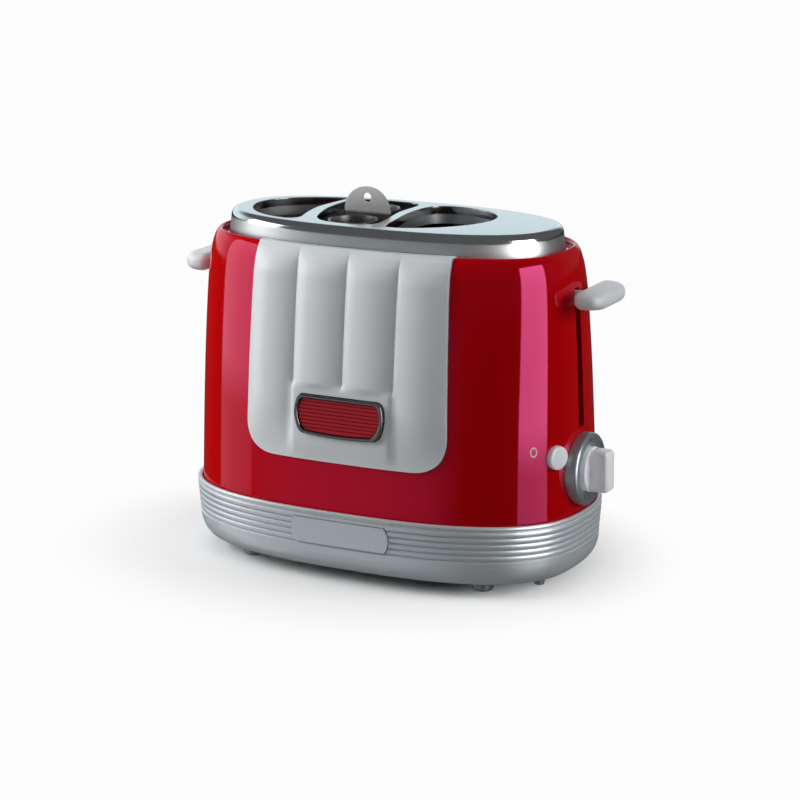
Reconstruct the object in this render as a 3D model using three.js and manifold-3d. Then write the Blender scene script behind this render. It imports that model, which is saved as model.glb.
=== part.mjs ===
// Retro hot dog maker: a red housing on a ribbed silver base, with a steel cover that has two bun
// openings and a lift-out sausage cage. Millimetres, +Z up, origin on the floor under the middle.
// Front (white fluted panel) faces -Y, the timer end faces +X.
import * as THREE from 'three';
import { mergeVertices } from 'three/addons/utils/BufferGeometryUtils.js';
import Module from 'manifold-3d';

const wasm = await Module();
wasm.setup();

// Clearances
const seatGap = 0.3;
const runningGap = 0.4;
const overcut = 10;
const rootOverlap = 1;
const weldTolerance = 1e-4;

// Plan curves: every level of the body is a superellipse
const planPower = 2.7;
const planSteps = 40;
const innerLevelPicks = [5, 3, 1, 0];

// Base ring
const baseHalfLength = 145;
const baseHalfDepth = 84.5;
const baseBottom = 8;
const baseTop = 51.2;
const rimDrop = 1;
const rimRound = 1.6;
const grooveCount = 6;
const rimBand = 3.7;
const grooveTop = baseTop - rimBand;
const groovePitch = 4.14;
const grooveDepth = 1.3;
const grooveHalfWidth = 0.85;
const ribTaper = 1.7;
const baseWall = 5.5;
const bellyInset = 11;
const bellyTop = 20;
const bellyInsetShares = [0.21, 0.38, 0.65, 1];
const bellyHeightShares = [1, 0.58, 0.25, 0.06];
const flangeInset = 17;
const flangeTop = 10;
const flangeRootInset = 10.5;
const bellyInnerInsetShares = [0.61, 0.22];
const bellyInnerHeightShares = [0.19, 0.5];
const bellyInnerTop = 26;

// Housing, with shares of its height, half length and half depth at each level
const housingStand = 3.6;
const housingSink = 7.2;
const housingHeight = 182;
const housingBottom = baseTop - housingSink;
const housingLedge = housingBottom - seatGap;
const housingLedgeInset = housingStand - seatGap;
const lipTop = housingBottom + housingHeight;
const housingHalfLength = baseHalfLength - housingStand;
const housingHalfDepth = baseHalfDepth - housingStand;
const housingLevelShares = [
  [0, 1, 1],
  [0.308, 0.989, 0.963],
  [0.582, 0.977, 0.911],
  [0.802, 0.962, 0.857],
  [0.901, 0.949, 0.825],
  [0.951, 0.936, 0.8],
  [0.984, 0.921, 0.77],
  [1, 0.904, 0.743],
];
const housingLevels = housingLevelShares.map(([up, long, deep]) => [
  housingBottom + housingHeight * up, housingHalfLength * long, housingHalfDepth * deep]);
const [, lipHalfLength, lipHalfDepth] = housingLevels[housingLevels.length - 1];
const housingWall = 3;
const lipWidth = 2.4;
const lipInnerHalfLength = lipHalfLength - lipWidth;
const lipInnerHalfDepth = lipHalfDepth - lipWidth;
const lipInnerDrop = 0.9;
const ledgeDrop = 3.5;
const ledgeTop = lipTop - ledgeDrop;
const ledgeThickness = 3;
const ledgeEndWidth = 13.4;
const ledgeSideWidth = 11.2;
const throatHalfLength = lipInnerHalfLength - ledgeEndWidth;
const throatHalfDepth = lipInnerHalfDepth - ledgeSideWidth;

// White front panel
const panelEndMargin = 65.9;
const panelTaper = 3.2;
const panelRaise = 40.5;
const panelBottomHalf = housingHalfLength - panelEndMargin;
const panelTopHalf = panelBottomHalf - panelTaper;
const panelBottom = housingBottom + panelRaise;
const panelTop = lipTop + runningGap;
const panelCorner = 24;
const panelBed = 1.6;
const panelBase = 1.4;
const lobeCount = 4;
const lobeHeight = 4.2;
const lobeFadeStart = 15.5;
const lobeFadeRun = 50;
const lobeSoftRun = 18.4;
const panelColumns = 32;
const panelRows = 10;
const badgeBossHeight = 2.6;
const badgeBossHalfWidth = 43;
const badgeBossHalfHeight = 24;

// Badge: half sizes at the top, middle and bottom
const badgeRaise = 32;
const badgeHeight = panelBottom + badgeRaise;
const badgeTopHalf = 31;
const badgeMidHalf = 33.4;
const badgeBottomHalf = 29;
const badgeHalfTall = 13.2;
const badgeSag = 1.2;
const badgeBorder = 3.2;
const badgeProud = 2.6;
const badgeBack = 2.4;
const badgePlateProud = 1.3;
const badgeRibs = 6;
const badgeRibProud = 0.5;
const badgeCorner = 3.5;
const badgeBowShares = [0.14, 0.32, 0.5, 0.68, 0.86];

// Bare nameplate on the base
const nameplateHalf = 34;
const nameplateBow = 3;
const nameplateDrop = 2.4;
const nameplateTall = 17.6;
const nameplateTop = grooveTop - nameplateDrop;
const nameplateBottom = nameplateTop - nameplateTall;
const nameplateProud = 0.9;
const nameplateBed = 1.9;
const nameplateArcSteps = 6;

// Steel cover
const coverPower = 2.45;
const coverSteps = 48;
const coverSheet = 1.2;
const coverHeight = 17;
const coverEndGap = 2.9;
const coverSideGap = 1.1;
const coverRollLength = 6.7;
const coverRollDepth = 6;
const coverTop = ledgeTop + coverHeight;
const coverHalfLength = lipInnerHalfLength - coverEndGap;
const coverHalfDepth = lipInnerHalfDepth - coverSideGap;
const flatHalfLength = coverHalfLength - coverRollLength;
const flatHalfDepth = coverHalfDepth - coverRollDepth;
const coverUpShares = [0, 0.37, 0.73, 0.886, 0.976, 1];
const coverInShares = [0, 0.14, 0.25, 0.4, 0.67, 1];
const coverLevels = coverUpShares.map((up, i) => [
  ledgeTop + seatGap + (coverTop - ledgeTop - seatGap) * up,
  coverHalfLength - (coverHalfLength - flatHalfLength) * coverInShares[i],
  coverHalfDepth - (coverHalfDepth - flatHalfDepth) * coverInShares[i]]);
const collarDepth = 12.5;
const collarBottom = coverTop - collarDepth;
const openingSteps = 24;

// Openings in the cover, as points of smooth closed curves in shares of the cover's flat
const leftOpeningShares = [
  [-0.928, 0.02], [-0.902, 0.277], [-0.829, 0.494], [-0.708, 0.672], [-0.57, 0.791],
  [-0.505, 0.771], [-0.522, 0.435], [-0.535, 0.079], [-0.509, -0.316], [-0.471, -0.672],
  [-0.518, -0.81], [-0.656, -0.751], [-0.794, -0.553], [-0.889, -0.277],
];
const centreOpeningShares = [
  [-0.466, 0.158], [-0.432, -0.237], [-0.371, -0.593], [-0.268, -0.791], [-0.112, -0.83],
  [0.009, -0.751], [0.035, -0.553], [0.009, -0.158], [-0.017, 0.237], [-0.009, 0.632],
  [-0.035, 0.83], [-0.173, 0.879], [-0.363, 0.85], [-0.458, 0.672],
];
const rightOpeningShares = [
  [0.112, -0.731], [0.181, -0.81], [0.294, -0.731], [0.432, -0.514], [0.544, -0.178],
  [0.592, 0.178], [0.561, 0.514], [0.458, 0.731], [0.294, 0.85], [0.147, 0.84], [0.069, 0.652],
  [0.052, 0.237], [0.078, -0.277],
];

// Levers and carriage
const leverDrop = 31;
const leverLevel = lipTop - leverDrop;
const leverTravel = 81;
const paddleStand = 4.5;
const paddleLength = 21;
const paddleInner = housingSize(leverLevel)[0] + paddleStand;
const paddleOuter = paddleInner + paddleLength;
const paddleHalfWidth = 25;
const paddleShift = 6;
const paddleRise = 1.4;
const paddleThickness = 12;
const paddleCorner = 14;
const paddleRound = 5.4;
const neckHalfWidth = 2.8;
const neckHalfHeight = 4.5;
const slotHalfWidth = 3.8;
const slotEndRoom = 2;
const blockHalfWidth = 8.5;
const blockHeight = 18;
const blockLength = 14;
const armHalfWidth = 3;
const leftRodInset = 19.9;
const rightRodInset = 45.4;
const leftRodX = -(housingHalfLength - leftRodInset);
const rightRodX = housingHalfLength - rightRodInset;
const rodRadius = 3;
const rodHoleRadius = rodRadius + runningGap;
const leftPlateGap = 8;
const rightPlateGap = 15.5;
const leftPlateX = leftRodX + leftPlateGap;
const rightPlateX = rightRodX - rightPlateGap;
const plateSheet = 1.2;
const plateDrop = 14.5;
const plateTop = ledgeTop - plateDrop;
const rodTip = 4;
const rodTop = plateTop + rodTip;
const frameLeftGap = 4.5;
const frameRightGap = 3.5;
const frameSideStep = 3.5;
const frameLeft = leftPlateX + frameLeftGap;
const frameRight = rightPlateX - frameRightGap;
const frameCentre = (frameLeft + frameRight) / 2;
const frameHalfLength = (frameRight - frameLeft) / 2;
const frameHalfDepth = throatHalfDepth + frameSideStep;
const frameBottom = leverLevel - blockHeight / 2;
const frameHeight = 8;
const frameSheet = 1.6;
const coilRadius = 5.6;
const coilWire = 0.8;
const coilTurns = 7;
const coilStepsPerTurn = 8;
const armatureReach = 15;
const armatureThickness = 4;

// Food racks hanging from the carriage frame
const rackDrop = 50;
const rackFloor = frameBottom - rackDrop;
const rackSheet = 1.4;
const strapWidth = 10;
const leftRackShare = -0.725;
const sausageRackShare = -0.207;
const rightRackShare = 0.328;
const leftCardShare = -0.5;
const rightCardShare = 0.03;
const leftRackX = flatHalfLength * leftRackShare;
const sausageRackX = flatHalfLength * sausageRackShare;
const rightRackX = flatHalfLength * rightRackShare;
const leftCardX = flatHalfLength * leftCardShare;
const rightCardX = flatHalfLength * rightCardShare;
const leftPadRoom = 14;
const sausagePadRoom = 10.7;
const rightPadRoom = 18.5;
const padDepthShares = [0.516, 0.774, 0.559];
const leftPadHalfX = leftCardX - leftRackX - leftPadRoom;
const sausagePadHalfX = (rightCardX - leftCardX) / 2 - sausagePadRoom;
const rightPadHalfX = rightRackX - rightCardX - rightPadRoom;
const [leftPadHalfY, sausagePadHalfY, rightPadHalfY] = padDepthShares.map((share) => share * throatHalfDepth);
const padSlots = 3;
const padSlotShare = 0.5;
const padLengthShare = 0.8;

// Sausage cage
const tubeShares = [[-0.177, -0.415], [-0.229, 0.435]];
const cageHoles = tubeShares.map(([x, y]) => [x * flatHalfLength, y * flatHalfDepth]);
const cageHoleRadius = 15;
const cageCollarWidth = 2.4;
const cageCollarOuter = cageHoleRadius + cageCollarWidth;
const cageCollarDrop = 0.9;
const cagePlateDrop = 7;
const cageCollarTop = coverTop - cageCollarDrop;
const cagePlateTop = coverTop - cagePlateDrop;
const cageSheet = 1.2;
const cageEdgeGap = 6;
const cageRodRadius = 1.1;
const cageRodsPerTube = 4;
const cageCupHeight = 7;
const cageSides = 18;
const tabShares = [-0.181, 0.012];
const [tabX, tabY] = [tabShares[0] * flatHalfLength, tabShares[1] * flatHalfDepth];
const tabHalfWidth = 17.5;
const tabFootHeight = 7.1;
const tabBase = cagePlateTop + tabFootHeight;
const tabHoleRadius = 3.3;
const tabHoleHeight = 10;
const tabSheet = 1.4;

// Chassis
const floorTop = 27;
const floorSheet = 1;
const floorEndMargin = 7.4;
const floorSideMargin = 20.4;
const floorHalfLength = housingHalfLength - floorEndMargin;
const floorHalfDepth = housingHalfDepth - floorSideMargin;
const crumbHoleShares = [[-0.754, -0.493], [-0.373, -0.03], [0.09, 0.552]];
const crumbHoleMargin = 22.5;
const crumbHoleHalf = floorHalfDepth - crumbHoleMargin;
const leftPlateStep = 11;
const railSideGap = 5.5;
const railInner = throatHalfDepth - railSideGap;
const leftPlateHalf = railInner - leftPlateStep;
const rightPlateHalf = railInner - runningGap;
const plateSlotHalf = 5;
const tabHalf = 8;
const railSheet = 1.2;
const railDrop = 6;
const railBottom = plateTop - railDrop;
const railHeight = 10;
const railRun = 8;
const reflectorSideStep = 6;
const reflectorY = frameHalfDepth + reflectorSideStep;
const reflectorSheet = 0.8;
const reflectorRun = 12;
const reflectorRightGap = 20.5;
const reflectorDrop = 8;
const reflectorTop = plateTop - reflectorDrop;

// Heaters
const cardSheet = 1;
const cardSideGap = 2;
const cardDrop = 3.5;
const cardHalf = railInner - cardSideGap;
const cardTop = ledgeTop - cardDrop;
const windingRaise = 19;
const windingDrop = 23;
const windingLow = floorTop + windingRaise;
const windingHigh = cardTop - windingDrop;
const windingTurns = 9;
const ribbonHalf = 0.3;
const guardOffset = 3.4;
const guardWire = 1.4;
const guardWires = 5;
const guardHalf = railInner - runningGap;

// Controls
const timerRaise = 35;
const timerHeight = housingBottom + timerRaise;
const bezelRadius = 24.5;
const bezelHole = 16;
const bezelStand = 7.2;
const bezelFace = housingSize(timerHeight)[0] + bezelStand;
const bezelBevel = 2.2;
const knobDiscRadius = 15.4;
const knobDiscProud = 1.4;
const knobDiscThick = 7.8;
const knobGripLength = 12.6;
const knobDiscFace = bezelFace + knobDiscProud;
const knobBack = knobDiscFace - knobDiscThick;
const knobEnd = knobDiscFace + knobGripLength;
const knobHalfThick = 7;
const knobHalfTall = 14.2;
const knobRound = 3;
const shaftRadius = 3;
const shaftFit = 0.1;
const shaftSink = 3;
const shaftLength = 27;
const shaftOuter = knobDiscFace - shaftSink;
const shaftInner = shaftOuter - shaftLength;
const timerHoleRadius = 5.6;
const bushingRadius = 5.2;
const timerHalfWidth = 14;
const timerHalfHeight = 18;
const bracketInset = 35.4;
const bracketX = housingHalfLength - bracketInset;
const bracketSheet = 1.2;
const bracketLow = -36;
const bracketHigh = 18;
const bracketRise = 24;
const bracketTop = timerHeight + bracketRise;
const buttonRaise = 49.4;
const buttonShare = 0.96835;
const buttonHeight = housingBottom + buttonRaise;
const buttonX = housingSize(buttonHeight)[0] * buttonShare;
const buttonRadius = 8;
const buttonProud = 3;
const buttonDeep = 6.4;
const buttonFlangeRadius = 10;
const buttonFlange = 1.6;
const buttonRound = 0.9;
const buttonHoleRadius = 8.4;
const switchHalf = 6.5;
const switchStart = 9.4;
const switchEnd = 34;
const magnetLength = 22;
const magnetDepth = 13;
const magnetHeight = 20;

// Bottom
const basePlateInset = 11.4;
const basePlateSheet = 1.8;
const footInsetX = 56;
const footInsetY = 38.5;
const footX = baseHalfLength - footInsetX;
const footY = baseHalfDepth - footInsetY;
const footRadius = 9.2;
const footShares = [[0, 0], [0.67, 0], [0.78, 0.12], [0.85, 0.46], [1, 0.74], [1, 1], [0, 1]];
const postInset = 26;
const postX = baseHalfLength - postInset;
const postY = -21;
const postRadius = 4.7;
const postShares = [[0, 0.06], [0.62, 0.06], [0.72, 0.11], [1, 0.94], [1, 1], [0, 1]];
const bossLeftInset = 42;
const bossRightInset = 39;
const bossSideInset = 54.5;
const bossXs = [bossLeftInset - baseHalfLength, baseHalfLength - bossRightInset];
const bossY = baseHalfDepth - bossSideInset;
const bossRadius = 4.5;
const screwHeadRadius = 3.4;
const screwHeadDepth = 1.5;
const screwRadius = 1.5;
const screwHoleRadius = 1.8;
const screwLength = 12;
const trayLeftInset = 51;
const trayRightInset = 69;
const trayFrontInset = 38.5;
const trayLeft = trayLeftInset - baseHalfLength;
const trayRight = baseHalfLength - trayRightInset;
const trayFront = trayFrontInset - baseHalfDepth;
const trayBottom = 13;
const trayTop = 20;
const traySheet = 1;
const trayPullHalf = 18;
const trayPullThick = 2;
const trayLipThick = 3.4;
const ventCount = 7;
const ventWidth = 4;
const ventLength = 40;
const ventPitch = 14;

// Sides and steps of round shapes
const rodSides = 4;
const smallSides = 8;
const shortSides = 10;
const guideSides = 12;
const footSides = 14;
const shaftSides = 16;
const holeSides = 20;
const buttonSides = 24;
const dialSides = 28;
const panelCornerSteps = 6;
const badgeCornerSteps = 4;
const paddleCornerSteps = 5;
const paddleRoundSteps = 3;
const knobRoundSteps = 2;
const tabSteps = 14;

// Materials from the photograph
const red = { color: 0xa30008, roughness: 0.15, metalness: 0 };
const white = { color: 0xe4e6e6, roughness: 0.25, metalness: 0 };
const silver = { color: 0x9aa3a8, roughness: 0.42, metalness: 0.7 };
const steel = { color: 0xb9b7b4, roughness: 0.28, metalness: 1 };
const chrome = { color: 0x8f8f92, roughness: 0.12, metalness: 1 };
const zinc = { color: 0xa8abad, roughness: 0.5, metalness: 0.9 };
const mica = { color: 0xb59a6a, roughness: 0.7, metalness: 0 };
const wire = { color: 0x6f6a66, roughness: 0.5, metalness: 0.9 };
const black = { color: 0x1d1e20, roughness: 0.5, metalness: 0 };
const grey = { color: 0x767d82, roughness: 0.6, metalness: 0 };

// Turn a three geometry into a manifold solid
function solid(geometry) {
  const clean = geometry.clone();
  clean.deleteAttribute('normal');
  clean.deleteAttribute('uv');
  const merged = mergeVertices(clean, weldTolerance);
  const vertProperties = new Float32Array(merged.attributes.position.array);
  const triVerts = new Uint32Array(merged.index.array);
  return new wasm.Manifold(new wasm.Mesh({ numProp: 3, vertProperties, triVerts }));
}

// Turn a manifold solid back into a three geometry
function geometryOf(body) {
  const mesh = body.getMesh();
  const geometry = new THREE.BufferGeometry();
  geometry.setAttribute('position', new THREE.BufferAttribute(new Float32Array(mesh.vertProperties), 3));
  geometry.setIndex(new THREE.BufferAttribute(new Uint32Array(mesh.triVerts), 1));
  const flat = geometry.toNonIndexed();
  flat.computeVertexNormals();
  return flat;
}

// Points round a superellipse at one height
function planRing(halfLength, halfDepth, z, power = planPower, steps = planSteps, centreX = 0) {
  const ring = [];
  for (let i = 0; i < steps; i += 1) {
    const angle = (2 * Math.PI * i) / steps;
    const c = Math.cos(angle);
    const s = Math.sin(angle);
    const x = halfLength * Math.sign(c) * Math.abs(c) ** (2 / power);
    const y = halfDepth * Math.sign(s) * Math.abs(s) ** (2 / power);
    ring.push([centreX + x, y, z]);
  }
  return ring;
}

// Join rings of equal point counts: capped at both ends, or closed on itself
function loft(rings, closed) {
  const count = rings[0].length;
  const positions = rings.flat(2);
  const index = [];
  const bands = closed ? rings.length : rings.length - 1;
  for (let r = 0; r < bands; r += 1) {
    const low = r * count;
    const high = ((r + 1) % rings.length) * count;
    for (let i = 0; i < count; i += 1) {
      const next = (i + 1) % count;
      index.push(low + i, low + next, high + next);
      index.push(low + i, high + next, high + i);
    }
  }
  if (!closed) {
    const last = (rings.length - 1) * count;
    for (let i = 1; i < count - 1; i += 1) {
      index.push(0, i + 1, i);
      index.push(last, last + i, last + i + 1);
    }
  }
  const geometry = new THREE.BufferGeometry();
  geometry.setAttribute('position', new THREE.Float32BufferAttribute(positions, 3));
  geometry.setIndex(index);
  return solid(geometry);
}

// A box from its two corners
function box(x0, x1, y0, y1, z0, z1) {
  const geometry = new THREE.BoxGeometry(x1 - x0, y1 - y0, z1 - z0);
  geometry.translate((x0 + x1) / 2, (y0 + y1) / 2, (z0 + z1) / 2);
  return solid(geometry);
}

// A straight prism on a plan outline
function prism(points, z0, z1) {
  const shape = new THREE.Shape(points.map(([x, y]) => new THREE.Vector2(x, y)));
  const geometry = new THREE.ExtrudeGeometry(shape, { depth: z1 - z0, bevelEnabled: false });
  geometry.translate(0, 0, z0);
  return solid(geometry);
}

// A cylinder along Z
function post(x, y, z0, z1, radius, sides) {
  const geometry = new THREE.CylinderGeometry(radius, radius, z1 - z0, sides);
  geometry.rotateX(Math.PI / 2);
  geometry.translate(x, y, (z0 + z1) / 2);
  return solid(geometry);
}

// A turned solid along Z from [radius, height] points that start and end on the axis
function turned(profile, steps) {
  const points = profile.map(([r, h]) => new THREE.Vector2(r, h));
  const geometry = new THREE.LatheGeometry(points, steps);
  geometry.rotateX(Math.PI / 2);
  const body = solid(geometry);
  if (body.volume() > 0) return body;
  geometry.index.array.reverse();
  return solid(geometry);
}

// A smooth closed curve through hand-placed points
function smoothLoop(points, steps) {
  const curve = new THREE.CatmullRomCurve3(points.map(([x, y]) => new THREE.Vector3(x, y, 0)), true);
  return curve.getSpacedPoints(steps).slice(0, steps).map((p) => [p.x, p.y]);
}

// Move a closed outline outwards along its normals
function grown(points, amount) {
  const count = points.length;
  let area = 0;
  for (let i = 0; i < count; i += 1) {
    const [x0, y0] = points[i];
    const [x1, y1] = points[(i + 1) % count];
    area += x0 * y1 - x1 * y0;
  }
  const side = Math.sign(area);
  return points.map(([x, y], i) => {
    const before = points[(i + count - 1) % count];
    const after = points[(i + 1) % count];
    const dx = after[0] - before[0];
    const dy = after[1] - before[1];
    const length = Math.hypot(dx, dy);
    return [x + (side * amount * dy) / length, y - (side * amount * dx) / length];
  });
}

// Half length and half depth of the housing at a height
function housingSize(z) {
  const last = housingLevels.length - 1;
  for (let i = 0; i < last; i += 1) {
    const [z0, a0, b0] = housingLevels[i];
    const [z1, a1, b1] = housingLevels[i + 1];
    if (z <= z1 || i === last - 1) {
      const share = (z - z0) / (z1 - z0);
      return [a0 + (a1 - a0) * share, b0 + (b1 - b0) * share];
    }
  }
  return null;
}

// Distance of the housing's front face from the middle plane
function frontDepth(x, z) {
  const [a, b] = housingSize(z);
  return b * (1 - Math.abs(x / a) ** planPower) ** (1 / planPower);
}

// The housing's outside as a full solid, moved inwards by an inset
function housingCore(inset, top = lipTop) {
  const rings = housingLevels.map(([z, a, b]) => planRing(a - inset, b - inset, z));
  return loft(rings, false).intersect(box(
    -baseHalfLength, baseHalfLength, -baseHalfDepth, baseHalfDepth, housingBottom, top));
}

// What lies behind the front panel: the housing's bed below and the cover's skirt above
function behindPanel(inset, rise) {
  const [, skirtLength, skirtDepth] = coverLevels[0];
  const bed = housingCore(inset, ledgeTop + rise);
  const gap = 2 * runningGap - rise;
  const ring = planRing(skirtLength + gap, skirtDepth + gap, 0, coverPower, coverSteps);
  return bed.add(prism(ring, ledgeTop - overcut, lipTop + overcut));
}

// Base outline profile as [inset, height] pairs
function baseOuterProfile() {
  const profile = [
    [housingLedgeInset, baseTop - rimDrop],
    [rimRound, baseTop],
    [rimDrop / 2, baseTop - rimDrop],
    [0, grooveTop + grooveHalfWidth * 2],
  ];
  for (let i = 0; i < grooveCount; i += 1) {
    const inset = (ribTaper * i) / (grooveCount - 1);
    const z = grooveTop - groovePitch * i;
    profile.push([inset, z + grooveHalfWidth], [inset + grooveDepth, z], [inset, z - grooveHalfWidth]);
  }
  bellyInsetShares.forEach((share, i) => {
    profile.push([bellyInset * share, baseBottom + (bellyTop - baseBottom) * bellyHeightShares[i]]);
  });
  return profile;
}

function baseRings(profile, extra = 0) {
  return profile.map(([inset, z]) => planRing(
    baseHalfLength - inset - extra, baseHalfDepth - inset - extra, z));
}

// The base's outside as a full solid
function baseCore(extra) {
  const profile = baseOuterProfile().slice(1);
  profile.push([bellyInset, baseBottom]);
  return loft(baseRings(profile, extra).reverse(), false);
}

// Ribbed base ring, open in the middle, with a ledge for the housing and a flange for the plate
function baseShell() {
  const profile = baseOuterProfile();
  profile.push(
    [flangeInset, baseBottom],
    [flangeInset, flangeTop],
    [flangeRootInset, flangeTop],
  );
  bellyInnerInsetShares.forEach((share, i) => profile.push([
    baseWall + (flangeRootInset - baseWall) * share,
    flangeTop + (bellyInnerTop - flangeTop) * bellyInnerHeightShares[i],
  ]));
  profile.push(
    [baseWall, bellyInnerTop],
    [baseWall, housingLedge],
    [housingLedgeInset, housingLedge],
  );
  const ring = loft(baseRings(profile).reverse(), true);
  const traySlot = box(
    trayLeft - runningGap, trayRight + runningGap, 0, baseHalfDepth + overcut,
    trayBottom - runningGap, trayTop + runningGap);
  return ring.subtract(traySlot).subtract(nameplateBlock(runningGap, nameplateBed + seatGap));
}

// Block with bowed ends in the nameplate's outline, from a depth inside the base outwards
function nameplateBlock(grow, depth) {
  const half = nameplateHalf + grow;
  const low = nameplateBottom - grow;
  const high = nameplateTop + grow;
  const middle = (low + high) / 2;
  const side = (sign) => {
    const curve = new THREE.QuadraticBezierCurve(
      new THREE.Vector2(sign * half, sign > 0 ? low : high),
      new THREE.Vector2(sign * (half + 2 * nameplateBow), middle),
      new THREE.Vector2(sign * half, sign > 0 ? high : low));
    return curve.getPoints(nameplateArcSteps);
  };
  const shape = new THREE.Shape([...side(1), ...side(-1)]);
  const geometry = new THREE.ExtrudeGeometry(shape, { depth: baseHalfDepth, bevelEnabled: false });
  geometry.rotateX(Math.PI / 2);
  geometry.translate(0, -baseHalfDepth / 2, 0);
  return solid(geometry).subtract(smoothBaseCore(depth));
}

// The base outline without its grooves
function smoothBaseCore(inset) {
  const rings = [
    [ribTaper + inset, nameplateBottom - groovePitch],
    [ribTaper + inset, nameplateBottom],
    [inset, nameplateTop],
    [inset, nameplateTop + groovePitch],
  ];
  return loft(baseRings(rings), false);
}

function namePlate() {
  const outside = smoothBaseCore(-nameplateProud);
  return nameplateBlock(0, nameplateBed).intersect(outside);
}

// Red shell with its lip, the cover's ledge, and the cut-outs for levers and controls
function housingShell() {
  const rings = housingLevels.map(([z, a, b]) => planRing(a, b, z));
  rings.push(planRing(
    lipInnerHalfLength + lipInnerDrop, lipInnerHalfDepth + lipInnerDrop, lipTop - lipInnerDrop));
  rings.push(planRing(lipInnerHalfLength, lipInnerHalfDepth, ledgeTop));
  rings.push(planRing(throatHalfLength, throatHalfDepth, ledgeTop));
  rings.push(planRing(throatHalfLength, throatHalfDepth, ledgeTop - ledgeThickness));
  const inner = innerLevelPicks.map((i) => housingLevels[i]);
  const [, topLength, topDepth] = inner[0];
  rings.push(planRing(topLength - housingWall, topDepth - housingWall, ledgeTop - ledgeThickness));
  inner.forEach(([z, a, b]) => rings.push(planRing(a - housingWall, b - housingWall, z)));
  let shell = loft(rings, true);
  const slotLow = leverLevel - leverTravel - neckHalfHeight - slotEndRoom;
  const slotHigh = leverLevel + neckHalfHeight + slotEndRoom;
  shell = shell.subtract(box(
    -baseHalfLength, -throatHalfLength, -slotHalfWidth, slotHalfWidth, slotLow, slotHigh));
  shell = shell.subtract(box(
    throatHalfLength, baseHalfLength, -slotHalfWidth, slotHalfWidth, slotLow, slotHigh));
  shell = shell.subtract(alongX(throatHalfLength, baseHalfLength, timerHoleRadius, timerHeight));
  shell = shell.subtract(atButton(turned(rod(buttonHoleRadius, -buttonDeep, buttonDeep), buttonSides)));
  const bed = panelPrism(runningGap).subtract(behindPanel(panelBed, 0));
  return shell.subtract(bed);
}

// Profile of a plain rod for turning
function rod(radius, z0, z1) {
  return [[0, z0], [radius, z0], [radius, z1], [0, z1]];
}

// A cylinder along X
function alongX(x0, x1, radius, z, sides = holeSides) {
  const geometry = new THREE.CylinderGeometry(radius, radius, x1 - x0, sides);
  geometry.rotateZ(Math.PI / 2);
  geometry.translate((x0 + x1) / 2, 0, z);
  return solid(geometry);
}

// The panel's outline carried straight back through the housing's front
function panelPrism(grow) {
  const bottom = panelBottom - grow;
  const lowHalf = panelBottomHalf + grow;
  const topHalf = panelTopHalf + grow;
  const top = panelTop + grow + overcut * (grow > 0 ? 1 : 0);
  const shape = new THREE.Shape();
  shape.moveTo(-lowHalf + panelCorner, bottom);
  shape.lineTo(lowHalf - panelCorner, bottom);
  shape.quadraticCurveTo(lowHalf, bottom, lowHalf, bottom + panelCorner);
  shape.lineTo(topHalf, top);
  shape.lineTo(-topHalf, top);
  shape.lineTo(-lowHalf, bottom + panelCorner);
  shape.quadraticCurveTo(-lowHalf, bottom, -lowHalf + panelCorner, bottom);
  const geometry = new THREE.ExtrudeGeometry(shape, {
    depth: baseHalfDepth, bevelEnabled: false, curveSegments: panelCornerSteps });
  geometry.rotateX(Math.PI / 2);
  geometry.translate(0, -throatHalfDepth / 2, 0);
  return solid(geometry);
}

// A smooth step from 0 to 1 between two values
function ease(value, low, high) {
  return THREE.MathUtils.smoothstep(value, low, high);
}

// How far the panel's face stands out from the housing
function panelRise(x, z) {
  const lobeWidth = (2 * panelBottomHalf) / lobeCount;
  const share = ((x + panelBottomHalf) / lobeWidth) % 1;
  const lobe = lobeHeight * Math.sqrt(Math.max(0, 4 * share * (1 - share)));
  const fadeLow = panelBottom + lobeFadeStart;
  const softLow = panelTop - lobeSoftRun;
  const fade = ease(z, fadeLow, fadeLow + lobeFadeRun) * (1 - ease(z, softLow, panelTop + lobeHeight));
  const across = 1 - ease(Math.abs(x), badgeBossHalfWidth - panelCorner / 2, badgeBossHalfWidth);
  const along = 1 - ease(Math.abs(z - badgeHeight), badgeBossHalfHeight / 2, badgeBossHalfHeight);
  return panelBase + Math.max(lobe * fade, badgeBossHeight * across * along);
}

// Fluted white panel laid on the housing's curved front
function frontPanel() {
  const face = [];
  const back = [];
  for (let r = 0; r <= panelRows; r += 1) {
    const z = panelBottom + ((panelTop - panelBottom) * r) / panelRows;
    for (let c = 0; c <= panelColumns; c += 1) {
      const x = -panelBottomHalf + (2 * panelBottomHalf * c) / panelColumns;
      face.push([x, -frontDepth(x, z) - panelRise(x, z), z]);
      back.push([x, -throatHalfDepth / 2, z]);
    }
  }
  const slab = sheetSolid(face, back, panelColumns, panelRows);
  const badgeBed = badgeBlock(-runningGap, -badgeBack - seatGap, overcut);
  return slab.intersect(panelPrism(0)).subtract(behindPanel(panelBed - seatGap, seatGap)).subtract(badgeBed);
}

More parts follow.
